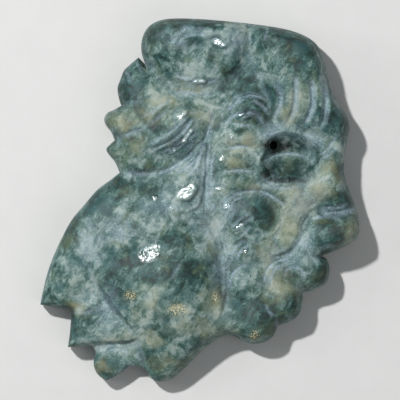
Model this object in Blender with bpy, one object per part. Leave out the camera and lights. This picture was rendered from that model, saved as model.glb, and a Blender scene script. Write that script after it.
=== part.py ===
"""A carved jade pendant: one polished stone, cut in relief as a mythical beast in profile.

For Blender 4.5, in metres, +Z up. The stone lies on its flat back, with the carving facing up. In the
front view +X is to the right, where the beast looks, and +Y is towards its crown. The origin is under
the middle of the stone, on the surface that it lies on.
"""

import math

import bmesh
import bpy
import numpy as np
from mathutils import Vector
from mathutils.geometry import delaunay_2d_cdt, interpolate_bezier

# Sizes, in metres
HEIGHT = 0.0545  # tail lobe to crown, in the front view
THICKNESS = 0.0105  # flat back to the highest part of the carving
GROUND = 0.0046  # flat back to the lowest tail feather, which the carving's levels start from
EDGE = 0.0034  # flat back to where the rounded front edge starts
FRONT_ROUNDING = 0.0019  # width of the rounded front edge on the body
TAIL_ROUNDING = 0.0009  # and on the thin tail feathers
BACK_ROUNDING = 0.0009  # width of the rounded edge round the back
HOLE_BACK = 0.0010  # hanging hole, diameter at the back
HOLE_FRONT = 0.0012  # and at the height of the carving
RIM_STEP = 0.00060  # spacing of the solid's points along the outline
PLAN_STEP = 0.00074  # and across the carving
BACK_STEP = 0.0040  # and across the flat back
HOLE_SIDES = 20
SPAN_POINTS = 6  # points drawn in each span of a smooth curve
GUIDE_GAP = 0.85  # distance from a form's edge to the points on each side of it, as a share of PLAN_STEP
RING_OVERSHOOT = 1.03  # how much further in than its own depth an inner ring of points is drawn
FRONT_RINGS = (0.12, 0.42, 1.0)  # inner rings of points, as shares of the rounded front edge's width
BACK_RINGS = (0.3, 1.0)  # and of the back edge's
RING_GAP = 0.55  # least distance between points on the rings, as a share of the outline's own spacing
LINE_GAP = 0.6  # and on the guide lines, as a share of PLAN_STEP
LATTICE_GAP = 0.72  # and on the lattice between them
LATTICE_SIDE = 120.0  # side of the square that the lattice fills, in hundredths of HEIGHT
CUTTER_EXCESS = 0.002  # how far the hole's cutter reaches past the stone's faces
SHARP_ANGLE = 50.0  # edges sharper than this, in degrees, aren't shaded smooth

STONE_COLOUR = (0.171, 0.231, 0.205, 1.0)
STONE_ROUGHNESS = 0.24

# Places are in hundredths of HEIGHT from the middle of the front view. The outline is a chain of
# smooth stretches, clockwise from the slit under the ear. Where two stretches meet is a corner.
OUTLINE = (
    # Ear, crown, brow and bridge, down to the tip of the snout
    ((-15.0, 37.2), (-16.1, 40.7), (-15.9, 44.5), (-14.0, 47.9), (-10.2, 49.7), (-2.7, 50.0), (11.0, 48.9),
     (22.5, 47.3), (28.3, 45.5), (32.1, 42.9), (34.1, 39.0), (35.3, 33.5), (37.2, 28.2), (40.1, 23.8),
     (41.2, 20.6), (40.6, 16.5), (39.7, 10.5), (39.8, 7.0), (41.4, 2.0), (43.5, -3.7), (44.0, -8.0),
     (43.3, -10.7)),
    # Chin
    ((43.3, -10.7), (40.4, -12.4), (36.5, -14.3), (33.2, -15.4)),
    # The three beads under the jaw
    ((33.2, -15.4), (34.9, -16.3), (35.7, -19.5), (34.7, -22.9), (31.6, -24.7), (28.4, -25.5)),
    ((28.4, -25.5), (28.3, -28.8), (26.8, -32.2), (24.2, -33.6), (21.3, -34.6)),
    ((21.3, -34.6), (20.2, -37.4), (17.6, -39.2), (14.3, -39.6), (11.4, -38.6), (9.6, -37.4)),
    # Belly, down to the lowest lobe
    ((9.6, -37.4), (7.4, -37.4), (3.8, -38.9), (0.0, -41.9), (-3.8, -45.9), (-7.4, -49.0), (-11.0, -50.0),
     (-13.7, -48.9), (-14.8, -47.0)),
    ((-14.8, -47.0), (-16.8, -45.9), (-19.5, -45.9)),
    # Third, second and first tail feathers
    ((-19.5, -45.9), (-22.3, -47.9), (-25.8, -49.5), (-28.3, -47.8), (-29.3, -45.1), (-28.8, -41.8),
     (-29.9, -40.2)),
    ((-29.9, -40.2), (-33.0, -40.4), (-36.4, -40.5)),
    ((-36.4, -40.5), (-35.9, -37.1), (-35.6, -33.5), (-35.6, -30.2)),
    ((-35.6, -30.2), (-39.5, -29.7), (-44.0, -28.8)),
    # Back, up to the nape
    ((-44.0, -28.8), (-43.3, -25.3), (-41.6, -18.7), (-38.7, -11.8), (-35.4, -5.6), (-31.6, -1.0),
     (-28.2, 2.9), (-24.7, 5.5), (-22.1, 7.6)),
    # Scallops of the fin
    ((-22.1, 7.6), (-23.4, 10.4), (-25.3, 12.8), (-25.8, 14.1), (-24.7, 15.4), (-23.5, 16.5)),
    ((-23.5, 16.5), (-24.5, 18.8), (-25.9, 20.6), (-26.4, 22.4), (-25.5, 24.0), (-23.6, 24.9),
     (-21.7, 26.0)),
    ((-21.7, 26.0), (-22.4, 28.3), (-22.7, 31.0), (-22.0, 33.0)),
    ((-22.0, 33.0), (-20.9, 35.7), (-19.5, 37.1), (-16.9, 39.3)),
    ((-16.9, 39.3), (-15.0, 37.2)),
)
HOLE_PLACE = (20.1, 15.0)  # the eye's inner corner, where the socket is deepest
TAIL_CORNER = (-36.0, -40.0)  # where the edge's rounding is that of the feathers
TAIL_REACH = 26.0  # and how far from there it has become that of the body

# Levels are heights above GROUND, in hundredths or so of the way to THICKNESS. The highest of them
# is brought to THICKNESS itself.
VALLEY = 46.0  # between the forms of the head and body
VALLEY_START = (-14.0, -24.0)  # where the valley's level starts to fall towards the feathers
VALLEY_END = (-24.0, -40.0)
LEVELS_ACROSS = HEIGHT / (THICKNESS - GROUND)  # as many levels as one hundredth of HEIGHT is long

# How the forms meet
SIDE_FALL = 2.2 * LEVELS_ACROSS  # fall of a form's side outside its edge, in levels for each unit of width
BLEND = 4.0  # levels over which a form's side runs softly into what is round it
SOFTNESS = 0.4  # how far a form's inner ridges are rounded, as a share of its reach
RIDGE_GAIN = 1.5  # most that this rounding may lift a place close to the edge


def smooth(knots, closed=False):
    """Points of a smooth curve through the knots."""
    points = [Vector(knot) for knot in knots]
    count = len(points)
    tangents = []
    for i, point in enumerate(points):
        before = points[i - 1] if closed or i else point
        after = points[(i + 1) % count] if closed or i < count - 1 else point
        tangents.append((after - before) / ((after - point).length + (point - before).length))
    curve = []
    for i in range(count if closed else count - 1):
        start, end = points[i], points[(i + 1) % count]
        pull = (end - start).length / 3
        handle_1 = start + tangents[i] * pull
        handle_2 = end - tangents[(i + 1) % count] * pull
        curve += interpolate_bezier(start, handle_1, handle_2, end, SPAN_POINTS)[:-1]
    if not closed:
        curve.append(points[-1])
    return np.array([point.to_2d() for point in curve])


def even(curve, step):
    """The curve's points spaced again, about a step apart, both ends kept."""
    lengths = np.linalg.norm(np.diff(curve, axis=0), axis=1)
    along = np.concatenate([[0.0], np.cumsum(lengths)])
    count = max(2, round(along[-1] / step) + 1)
    wanted = np.linspace(0.0, along[-1], count)
    return np.column_stack([np.interp(wanted, along, curve[:, axis]) for axis in (0, 1)])


def oval(middle, half_length, half_width, tilt=0.0, points=40):
    """A closed ellipse, its length turned by tilt degrees from +X."""
    turn = np.linspace(0.0, 2 * math.pi, points, endpoint=False)
    length, width = half_length * np.cos(turn), half_width * np.sin(turn)
    cos, sin = math.cos(math.radians(tilt)), math.sin(math.radians(tilt))
    return np.column_stack([middle[0] + length * cos - width * sin, middle[1] + length * sin + width * cos])


def distance_to(places, curve, closed=False):
    """Each place's distance to the curve, and how far along the curve its nearest point is, 0 to 1."""
    ends = np.roll(curve, -1, axis=0) if closed else curve[1:]
    starts = curve if closed else curve[:-1]
    nearest = np.full(len(places), np.inf)
    along = np.zeros(len(places))
    for number, (start, end) in enumerate(zip(starts, ends)):
        run = end - start
        share = np.clip((places - start) @ run / max(run @ run, 1e-12), 0.0, 1.0)
        gap = np.linalg.norm(places - start - share[:, None] * run, axis=1)
        closer = gap < nearest
        nearest[closer] = gap[closer]
        along[closer] = (number + share[closer]) / len(starts)
    return nearest, along


def is_inside(places, curve):
    """Whether each place is inside the closed curve."""
    x, y = places.T
    inside = np.zeros(len(places), bool)
    for (x0, y0), (x1, y1) in zip(curve, np.roll(curve, -1, axis=0)):
        if y0 != y1:
            inside ^= ((y0 > y) != (y1 > y)) & (x < x0 + (y - y0) * (x1 - x0) / (y1 - y0))
    return inside


def depth_inside(places, curve):
    """Each place's distance to the closed curve, negative outside it."""
    distance, _ = distance_to(places, curve, closed=True)
    return np.where(is_inside(places, curve), distance, -distance)


def soft_depth(places, curve, softness):
    """The same, but with no ridge inside where two stretches of the curve are equally near.

    It rounds such a ridge over about the softness, as a polished pillow is rounded.
    """
    total = np.zeros(len(places))
    for start, end in zip(curve, np.roll(curve, -1, axis=0)):
        gap = np.linalg.norm(places - (start + end) / 2, axis=1)
        total += math.dist(start, end) * np.exp(-gap / softness)
    soft = -softness * np.log(np.maximum(total / (2.0 * softness), 1e-12))
    depth = depth_inside(places, curve)
    return np.where(depth > 0.0, np.clip(soft, 0.0, RIDGE_GAIN * np.maximum(depth, 0.0)), depth)


def near(places, curve, margin):
    """The numbers of the places within the curve's own rectangle, widened by the margin."""
    low, high = curve.min(axis=0) - margin, curve.max(axis=0) + margin
    return np.flatnonzero(np.all((places > low) & (places < high), axis=1))


def ramp(places, start, end):
    """0 at the start and before it, 1 at the end and past it, with an easy slope between."""
    run = np.subtract(end, start)
    share = np.clip((places - start) @ run / (run @ run), 0.0, 1.0)
    return share * share * (3.0 - 2.0 * share)


def swell(depth, reach):
    """A pillow's rise: steepest at its edge, level from the reach on."""
    share = np.clip(depth / reach, 0.0, 1.0)
    return share * (2.0 - share)


def round_over(depth, width):
    """A quarter round's rise across the width, 0 to 1."""
    share = np.clip(depth / width, 0.0, 1.0)
    return np.sqrt(share * (2.0 - share))


class Form:
    """A swelling form that stands on the ground round it, from foot to top."""

    def __init__(self, edge, foot, top, reach, fall=None, blend=BLEND):
        self.line = edge
        self.foot, self.top, self.reach, self.fall, self.blend = foot, top, reach, fall, blend

    def carve(self, places, levels):
        close = near(places, self.line, (self.foot + self.blend) / SIDE_FALL)
        depth = soft_depth(places[close], self.line, SOFTNESS * self.reach)
        own = self.foot + (self.top - self.foot) * swell(depth, self.reach)
        own += np.minimum(depth, 0.0) * SIDE_FALL
        if self.fall:
            start, end, drop = self.fall
            own -= drop * ramp(places[close], start, end)
        overlap = np.maximum(self.blend - np.abs(own - levels[close]), 0.0)
        levels[close] = np.maximum(levels[close], own) + overlap**2 / (4.0 * self.blend)


class Swelling:
    """A form added on top of what is there. With a negative rise it is a hollow."""

    def __init__(self, edge, rise, reach):
        self.line, self.rise, self.reach = edge, rise, reach

    def carve(self, places, levels):
        close = near(places, self.line, 0.0)
        depth = soft_depth(places[close], self.line, SOFTNESS * self.reach)
        levels[close] += self.rise * swell(depth, self.reach)


class Groove:
    """A round-bottomed cut along a curve, shallower towards both ends."""

    def __init__(self, knots, width, depth, ends=0.25):
        self.line = smooth(knots)
        self.width, self.depth, self.ends = width, depth, ends

    def carve(self, places, levels):
        close = near(places, self.line, self.width / 2)
        distance, along = distance_to(places[close], self.line)
        share = np.clip(2.0 * distance / self.width, 0.0, 1.0)
        taper = swell(np.minimum(along, 1.0 - along), self.ends)
        levels[close] -= self.depth * (1.0 - share**2) * taper


def body_forms():
    """Fin, neck, back, tail feathers and haunch. Edges that meet the outline run out past it."""
    fin = smooth(((-15.2, 36.6), (-20.5, 38.8), (-24.5, 33.0), (-25.0, 27.0), (-28.5, 23.5), (-26.5, 17.0),
                  (-28.0, 14.5), (-24.5, 8.3), (-16.5, 7.6), (-11.0, 8.3), (-5.5, 11.0), (-0.8, 15.2),
                  (2.2, 20.5), (3.8, 25.5), (1.6, 28.9), (-3.8, 29.4), (-9.3, 31.3), (-12.9, 34.1)), True)
    neck = smooth(((-9.0, 6.6), (-5.8, 8.8), (-2.2, 11.4), (1.6, 15.1), (1.4, 9.6), (0.8, 3.8), (-0.2, -0.8),
                   (-3.0, -3.0), (-6.6, -3.0), (-9.2, -0.8), (-10.2, 3.0)), True)
    back = smooth(((-21.7, 6.9), (-27.5, 5.5), (-33.5, 0.5), (-38.0, -5.0), (-41.5, -12.0), (-44.5, -19.0),
                   (-47.0, -30.0), (-39.5, -31.0), (-34.0, -29.9), (-30.3, -29.6), (-28.0, -27.4),
                   (-28.6, -23.1), (-26.0, -21.0), (-18.0, -26.0), (-8.0, -26.0), (0.0, -20.0),
                   (3.0, -12.0), (1.0, -4.0), (0.4, 3.0), (0.4, 9.0), (-3.0, 9.8), (-8.0, 7.6),
                   (-14.0, 6.6)), True)
    second_feather = smooth(((-34.0, -28.5), (-38.0, -31.5), (-38.5, -42.3), (-31.0, -41.5), (-28.7, -39.4),
                             (-25.0, -38.6), (-18.5, -38.2), (-15.5, -36.5), (-20.0, -31.5), (-24.5, -26.0),
                             (-28.0, -23.0)), True)
    haunch = smooth(((-28.4, -16.4), (-25.4, -14.6), (-20.9, -12.6), (-15.4, -10.2), (-10.4, -7.7),
                     (-5.5, -5.2), (-0.3, -3.6), (3.6, -6.0), (5.5, -11.3), (6.6, -17.0), (6.9, -23.4),
                     (6.0, -28.8), (4.5, -34.0), (4.5, -41.0), (-2.5, -48.5), (-9.0, -53.0), (-15.0, -52.0),
                     (-14.2, -44.5), (-15.9, -39.0), (-19.2, -33.8), (-23.9, -28.0), (-27.2, -23.0),
                     (-29.0, -19.4)), True)
    return [
        Form(second_feather, 20.0, 27.0, 2.5, fall=((-20.0, -33.0), (-36.0, -40.0), 6.0)),
        Form(back, 44.0, 76.0, 9.0, fall=((-20.0, 0.0), (-38.0, -29.0), 30.0)),
        Form(fin, 46.0, 68.0, 6.0, fall=((-8.0, 22.0), (-26.0, 20.0), 16.0)),
        Form(neck, 56.0, 80.0, 5.0, blend=16.0),
        Form(haunch, 49.0, 98.0, 10.0, fall=((-10.0, -26.0), (-12.0, -50.0), 34.0), blend=18.0),
        Swelling(oval((-8.0, 18.7), 10.0, 4.2, 41.0), 18.0, 3.8),
        Swelling(oval((-5.0, 22.8), 4.4, 2.4, 38.0), 7.0, 2.4),
        Swelling(oval((-4.0, 2.0), 4.6, 3.0, 45.0), 7.0, 3.0),
    ]


def head_forms():
    """Ear, brow, mane, cheek, snout and the beads under the jaw."""
    ear = smooth(((-14.4, 37.6), (-19.0, 41.0), (-18.5, 47.5), (-14.5, 52.5), (-4.0, 55.0), (10.0, 56.0),
                  (16.0, 52.0), (14.6, 46.0), (13.6, 40.0), (11.2, 35.4), (6.9, 32.1), (1.6, 30.4),
                  (-4.4, 30.6), (-9.6, 32.7)), True)
    ear_dish = smooth(((-7.7, 38.5), (-6.6, 42.3), (-2.7, 44.5), (2.2, 45.2), (7.1, 44.0), (9.9, 40.7),
                       (9.3, 36.8), (6.0, 33.8), (1.4, 32.4), (-3.3, 33.0), (-6.6, 35.2)), True)
    brow = smooth(((10.0, 54.0), (24.0, 52.5), (34.0, 47.0), (37.0, 39.0), (38.0, 33.0), (41.5, 27.5),
                   (44.0, 21.5), (41.5, 15.8), (35.2, 15.4), (31.3, 17.3), (27.2, 19.2), (22.8, 19.8),
                   (19.2, 19.8), (17.6, 23.1), (18.1, 27.5), (16.5, 31.9), (14.4, 36.3), (13.4, 41.8),
                  (11.5, 47.0)), True)
    cheek = smooth(((17.6, 4.4), (22.0, 4.4), (26.4, 5.5), (30.5, 7.7), (33.0, 11.0), (34.3, 14.6),
                    (38.0, 16.5), (42.5, 13.0), (42.5, 7.7), (43.5, 2.3), (44.0, -1.0), (38.5, -1.5),
                    (33.5, -1.4), (29.9, -3.0), (28.0, -6.6), (26.9, -11.0), (23.6, -14.0), (19.5, -14.8),
                    (18.7, -12.6), (21.7, -9.9), (22.8, -5.5), (21.7, -1.1), (19.2, 1.6)), True)
    snout = smooth(((31.0, -3.8), (35.2, -2.9), (40.4, -2.2), (46.0, -3.0), (47.0, -8.0), (45.5, -12.5),
                    (38.5, -16.0), (33.0, -17.0), (29.8, -14.8), (28.4, -11.8), (28.9, -7.1)), True)
    eye_socket = smooth(((17.0, 12.9), (18.1, 16.2), (20.9, 18.7), (24.7, 18.8), (28.6, 17.7), (31.6, 15.7),
                         (33.2, 13.2), (32.7, 10.2), (30.5, 8.0), (27.5, 6.0), (23.4, 4.9), (19.5, 5.5),
                         (17.0, 8.2), (16.3, 10.7)), True)
    return [
        Form(ear, 46.0, 84.0, 5.0),
        Form(brow, 46.0, 86.0, 6.0),
        Form(cheek, 50.0, 86.0, 6.0),
        Form(snout, 48.0, 88.0, 5.0),
        Form(oval((13.2, 24.4), 6.8, 4.8, 10.0), 48.0, 74.0, 4.0),
        Form(oval((10.2, 17.5), 6.6, 4.2, -8.0), 48.0, 80.0, 4.2),
        Form(oval((9.9, 11.0), 6.7, 4.0, 0.0), 48.0, 80.0, 4.0),
        Form(oval((10.4, 4.9), 6.3, 3.7, -5.0), 48.0, 80.0, 3.7),
        Form(oval((13.9, -4.2), 8.4, 6.6, -20.0), 48.0, 90.0, 6.6),
        Form(oval((11.9, -14.3), 6.2, 4.4, -10.0), 46.0, 76.0, 4.4),
        Form(oval((12.4, -22.0), 5.8, 5.2, 0.0), 46.0, 70.0, 5.2),
        Form(oval((24.6, -20.2), 7.0, 4.8, 0.0), 46.0, 68.0, 4.8),
        Form(oval((31.2, -19.8), 5.4, 5.4, 0.0), 42.0, 66.0, 5.4),
        Form(oval((23.8, -28.0), 6.0, 6.6, 20.0), 42.0, 68.0, 6.0),
        Form(oval((15.6, -33.2), 6.8, 7.2, 0.0), 42.0, 71.0, 6.8),
        Swelling(ear_dish, -13.0, 2.6),
        Swelling(oval((3.8, 40.2), 2.0, 1.5, 0.0), -10.0, 1.6),
        Swelling(oval((20.6, 36.8), 5.0, 4.0, 0.0), 9.0, 3.8),
        Swelling(eye_socket, -33.0, 2.8),
        Swelling(oval((24.8, 8.9), 6.8, 3.3, 3.0), 17.0, 3.0),
    ]


def body_grooves():
    """The wide cuts of the neck, body and fin."""
    return [
        Groove(((3.8, 24.2), (2.7, 19.8), (1.6, 13.7), (1.1, 8.2), (1.1, 2.2), (1.1, -3.3)), 2.8, 5.0),
        Groove(((1.1, -3.3), (3.8, -7.7), (5.5, -11.8), (5.8, -17.0), (6.6, -22.5), (7.1, -27.5),
                (7.0, -33.4)), 3.2, 6.0),
        Groove(((-23.5, 8.0), (-16.5, 7.3), (-11.0, 7.7), (-6.0, 9.6), (-1.1, 13.7), (2.7, 19.0)), 2.0, 6.0),
        Groove(((-13.9, 13.9), (-9.0, 15.8), (-4.8, 19.0), (-1.6, 23.0)), 1.5, 5.0),
        Groove(((-21.7, 26.0), (-18.8, 26.4), (-15.5, 27.9)), 1.8, 4.0, 0.6),
        Groove(((-23.5, 16.5), (-20.3, 17.6), (-16.6, 19.7)), 1.8, 7.0, 0.6),
        Groove(((-6.6, -3.8), (-2.7, -6.0), (0.0, -9.3)), 2.4, 4.0),
    ]


def head_grooves():
    """The four crescent flutes of the brow, and the wide cuts of the mane and muzzle."""
    flutes = (
        ((20.3, 33.0), (22.1, 28.8), (21.6, 25.4), (19.5, 20.9)),
        ((25.8, 34.6), (26.2, 30.9), (26.1, 27.5), (25.4, 24.0), (23.6, 20.6)),
        ((29.9, 34.3), (30.6, 29.5), (30.7, 26.4), (29.7, 22.7), (28.4, 20.2)),
        ((33.2, 35.2), (34.2, 29.5), (34.4, 26.1), (34.0, 22.3), (33.0, 19.4)),
    )
    cuts = [Groove(knots, 1.9, 11.0, 0.30) for knots in flutes]
    cuts += [
        Groove(((32.1, -3.3), (35.2, -3.7), (38.7, -3.4), (43.5, -2.0)), 2.4, 11.0),
        Groove(((30.8, -3.0), (28.3, -6.0), (27.7, -9.9), (25.5, -14.0), (22.3, -15.9),
                (18.7, -17.0)), 3.0, 8.0),
        Groove(((15.4, 2.7), (18.7, 1.6), (22.3, -0.8)), 1.6, 7.0),
        Groove(((8.8, 25.3), (11.0, 27.7), (13.7, 28.7), (17.0, 28.0)), 1.5, 7.0),
        Groove(((10.6, 22.6), (13.7, 23.9), (15.8, 23.0), (17.0, 20.8)), 1.9, 11.0),
    ]
    return cuts


def draw_outline():
    """The outline's points in hundredths of HEIGHT, evenly spaced, and the middle of the box round them."""
    step = 100 * RIM_STEP / HEIGHT
    points = np.concatenate([even(smooth(knots), step)[:-1] for knots in OUTLINE])
    middle = (points.min(axis=0) + points.max(axis=0)) / 2
    return points, middle


def beside(curve, gap):
    """The curve moved sideways, to the right of the way that it runs."""
    run = np.gradient(curve, axis=0)
    right = np.column_stack([run[:, 1], -run[:, 0]])
    return curve + gap * right / np.linalg.norm(right, axis=1)[:, None]


def guide_lines(forms, step):
    """Curves that the solid's points follow: each form's edge, each groove's middle, and both sides of it."""
    lines = [form.line for form in forms]
    for form in forms:
        gap = form.width / 2 if isinstance(form, Groove) else GUIDE_GAP * step
        lines += [beside(form.line, gap), beside(form.line, -gap)]
    return lines


class Spread:
    """A set of places in the plan, none of them too close to another."""

    def __init__(self, cell):
        self.cell = cell
        self.cells = {}
        self.places = []

    def add(self, place, gap):
        column, row = int(place[0] // self.cell), int(place[1] // self.cell)
        for near_column in range(column - 1, column + 2):
            for near_row in range(row - 1, row + 2):
                for other in self.cells.get((near_column, near_row), ()):
                    if math.dist(place, other) < gap:
                        return
        self.cells.setdefault((column, row), []).append(place)
        self.places.append(place)


def spread_inside(outline, rings, lines, step):
    """The outline's places, then places on inner rings, on the lines, and on a lattice of the step."""
    spread = Spread(step)
    rim_step = np.linalg.norm(np.diff(outline, axis=0), axis=1).mean()
    for place in outline:
        spread.add(tuple(place), 0.0)
    for ring in rings:
        moved = beside(outline, RING_OVERSHOOT * ring)
        clear = depth_inside(moved, outline) > ring
        for place in moved[clear]:
            spread.add(tuple(place), RING_GAP * rim_step)
    margin = rings[-1] + step / 2
    for line in lines:
        points = even(line, step)
        for place in points[depth_inside(points, outline) > margin]:
            spread.add(tuple(place), LINE_GAP * step)
    rows = int(LATTICE_SIDE / step)
    lattice = [((column + 0.5 * (row % 2) - 0.5 * rows) * step, (row - 0.5 * rows) * step * math.sqrt(0.75))
               for row in range(rows) for column in range(rows)]
    lattice = np.array(lattice)
    for place in lattice[depth_inside(lattice, outline) > margin]:
        spread.add(tuple(place), LATTICE_GAP * step)
    return np.array(spread.places)


def skin(places, rim_count):
    """Triangles over the places, inside the closed outline that the first of them make."""
    rim = [(i, (i + 1) % rim_count) for i in range(rim_count)]
    found = delaunay_2d_cdt([Vector(place) for place in places], rim, [], 1, 1e-7)
    return np.array([tuple(vert) for vert in found[0]]), found[2]


def carving():
    """All the forms and cuts, in the order in which they are made."""
    return body_forms() + head_forms() + body_grooves() + head_grooves()


def front_level(places, outline):
    """Height of the carved front above the flat back, in metres."""
    levels = VALLEY * (1.0 - ramp(places, VALLEY_START, VALLEY_END))
    for form in carving():
        form.carve(places, levels)
    height = GROUND + levels / levels.max() * (THICKNESS - GROUND)
    tail = np.clip(np.linalg.norm(places - TAIL_CORNER, axis=1) / TAIL_REACH, 0.0, 1.0)
    rounding = TAIL_ROUNDING + (FRONT_ROUNDING - TAIL_ROUNDING) * tail
    depth = np.maximum(depth_inside(places, outline), 0.0) * HEIGHT / 100
    return EDGE + (height - EDGE) * round_over(depth, rounding)


def back_level(places, outline):
    """Height of the back, which is flat but for its rounded edge, in metres."""
    depth = np.maximum(depth_inside(places, outline), 0.0) * HEIGHT / 100
    return BACK_ROUNDING * (1.0 - round_over(depth, BACK_ROUNDING))


def stone_mesh():
    """The carved front and the flat back, drawn over one outline and joined by a side wall."""
    outline, middle = draw_outline()
    unit = HEIGHT / np.ptp(outline[:, 1])
    share = 100 / HEIGHT
    lines = guide_lines(carving(), PLAN_STEP * share)
    front_rings = [FRONT_ROUNDING * share * part for part in FRONT_RINGS]
    front = spread_inside(outline, front_rings, lines, PLAN_STEP * share)
    back_rings = [BACK_ROUNDING * share * part for part in BACK_RINGS]
    back = spread_inside(outline, back_rings, [], BACK_STEP * share)
    rim_count = len(outline)
    front, front_faces = skin(front, rim_count)
    back, back_faces = skin(back, rim_count)
    front_points = np.column_stack([(front - middle) * unit, front_level(front, outline)])
    back_points = np.column_stack([(back - middle) * unit, back_level(back, outline)])
    first_back = len(front_points)
    faces = [tuple(face) for face in front_faces]
    faces += [tuple(first_back + i for i in reversed(face)) for face in back_faces]
    for i in range(rim_count):
        j = (i + 1) % rim_count
        faces.append((i, j, first_back + j, first_back + i))
    mesh = bpy.data.meshes.new("carved_stone")
    mesh.from_pydata(np.concatenate([front_points, back_points]).tolist(), [], faces)
    return mesh


def drill(middle):
    """The cutter for the hanging hole, which widens towards the front."""
    taper = (HOLE_FRONT - HOLE_BACK) / THICKNESS
    excess = taper * CUTTER_EXCESS
    depth = THICKNESS + 2 * CUTTER_EXCESS
    shape = bmesh.new()
    bmesh.ops.create_cone(shape, cap_ends=True, segments=HOLE_SIDES, depth=depth,
                          radius1=(HOLE_BACK - excess) / 2, radius2=(HOLE_FRONT + excess) / 2)
    mesh = bpy.data.meshes.new("hole_cutter")
    shape.to_mesh(mesh)
    shape.free()
    cutter = bpy.data.objects.new("hole_cutter", mesh)
    place = (np.array(HOLE_PLACE) - middle) * HEIGHT / 100
    cutter.location = (place[0], place[1], THICKNESS / 2)
    cutter.hide_render = True
    cutter.display_type = "WIRE"
    return cutter


def stone_material():
    material = bpy.data.materials.new("mottled jade")
    material.use_nodes = True
    shader = material.node_tree.nodes["Principled BSDF"]
    shader.inputs["Base Color"].default_value = STONE_COLOUR
    shader.inputs["Roughness"].default_value = STONE_ROUGHNESS
    shader.inputs["Metallic"].default_value = 0.0
    return material


def build():
    for thing in list(bpy.data.objects):
        bpy.data.objects.remove(thing)
    pendant = bpy.data.collections.new("Jade pendant")
    cutters = bpy.data.collections.new("Cutters")
    bpy.context.scene.collection.children.link(pendant)
    bpy.context.scene.collection.children.link(cutters)

    mesh = stone_mesh()
    mesh.materials.append(stone_material())
    stone = bpy.data.objects.new("carved_stone", mesh)
    pendant.objects.link(stone)
    cutter = drill(draw_outline()[1])
    cutters.objects.link(cutter)
    hole = stone.modifiers.new("Hanging hole", "BOOLEAN")
    hole.operation = "DIFFERENCE"
    hole.solver = "EXACT"
    hole.object = cutter
    mesh.shade_smooth()
    mesh.set_sharp_from_angle(angle=math.radians(SHARP_ANGLE))


build()
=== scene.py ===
"""The looks of the carved jade pendant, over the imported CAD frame: fine carving, stone, light and camera."""

import math

import bpy
import numpy as np
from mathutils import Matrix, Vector, noise
from mathutils.geometry import delaunay_2d_cdt, interpolate_bezier


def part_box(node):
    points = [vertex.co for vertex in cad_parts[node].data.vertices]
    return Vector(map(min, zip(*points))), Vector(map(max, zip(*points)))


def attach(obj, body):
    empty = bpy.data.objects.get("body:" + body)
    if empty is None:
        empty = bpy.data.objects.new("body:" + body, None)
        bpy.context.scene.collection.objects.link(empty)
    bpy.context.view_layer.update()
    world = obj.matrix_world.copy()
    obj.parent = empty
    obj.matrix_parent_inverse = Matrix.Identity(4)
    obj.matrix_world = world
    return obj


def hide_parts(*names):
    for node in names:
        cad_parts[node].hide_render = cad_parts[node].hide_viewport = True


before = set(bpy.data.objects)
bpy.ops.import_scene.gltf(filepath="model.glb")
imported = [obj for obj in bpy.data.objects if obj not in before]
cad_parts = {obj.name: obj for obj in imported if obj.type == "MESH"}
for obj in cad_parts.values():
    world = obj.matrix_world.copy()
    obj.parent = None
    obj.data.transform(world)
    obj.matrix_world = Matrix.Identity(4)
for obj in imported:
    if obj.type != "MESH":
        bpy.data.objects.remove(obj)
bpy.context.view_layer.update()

# Sizes in metres. Those of the stone's box come from the frame, the others are the CAD source's own.
LOW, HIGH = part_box("carved_stone")
HEIGHT = HIGH.y - LOW.y  # tail lobe to crown
THICKNESS = HIGH.z - LOW.z  # flat back to the highest part of the carving
MIDDLE = (LOW + HIGH) / 2
GROUND = 0.0046  # flat back to the lowest tail feather, which the carving's levels start from
EDGE = 0.0034  # flat back to where the rounded front edge starts
FRONT_ROUNDING = 0.0019  # width of the rounded front edge on the body
TAIL_ROUNDING = 0.0009  # and on the thin tail feathers
BACK_ROUNDING = 0.0009  # width of the rounded edge round the back
HOLE_BACK = 0.0010  # hanging hole, diameter at the back
HOLE_FRONT = 0.0012  # and at the height of the carving
HOLE_SIDES = 28
RIM_STEP = 0.00020  # spacing of the mesh's points along the outline
PLAN_STEP = 0.00019  # and across the carving
BACK_STEP = 0.0010  # and across the flat back
WALL_ROWS = 7  # rows of points between the front edge and the back edge
SPAN_POINTS = 8  # points drawn in each span of a smooth curve
GUIDE_GAP = 0.85  # distance from a form's edge to the points on each side of it, as a share of PLAN_STEP
RING_OVERSHOOT = 1.03  # how much further in than its own depth an inner ring of points is drawn

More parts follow.
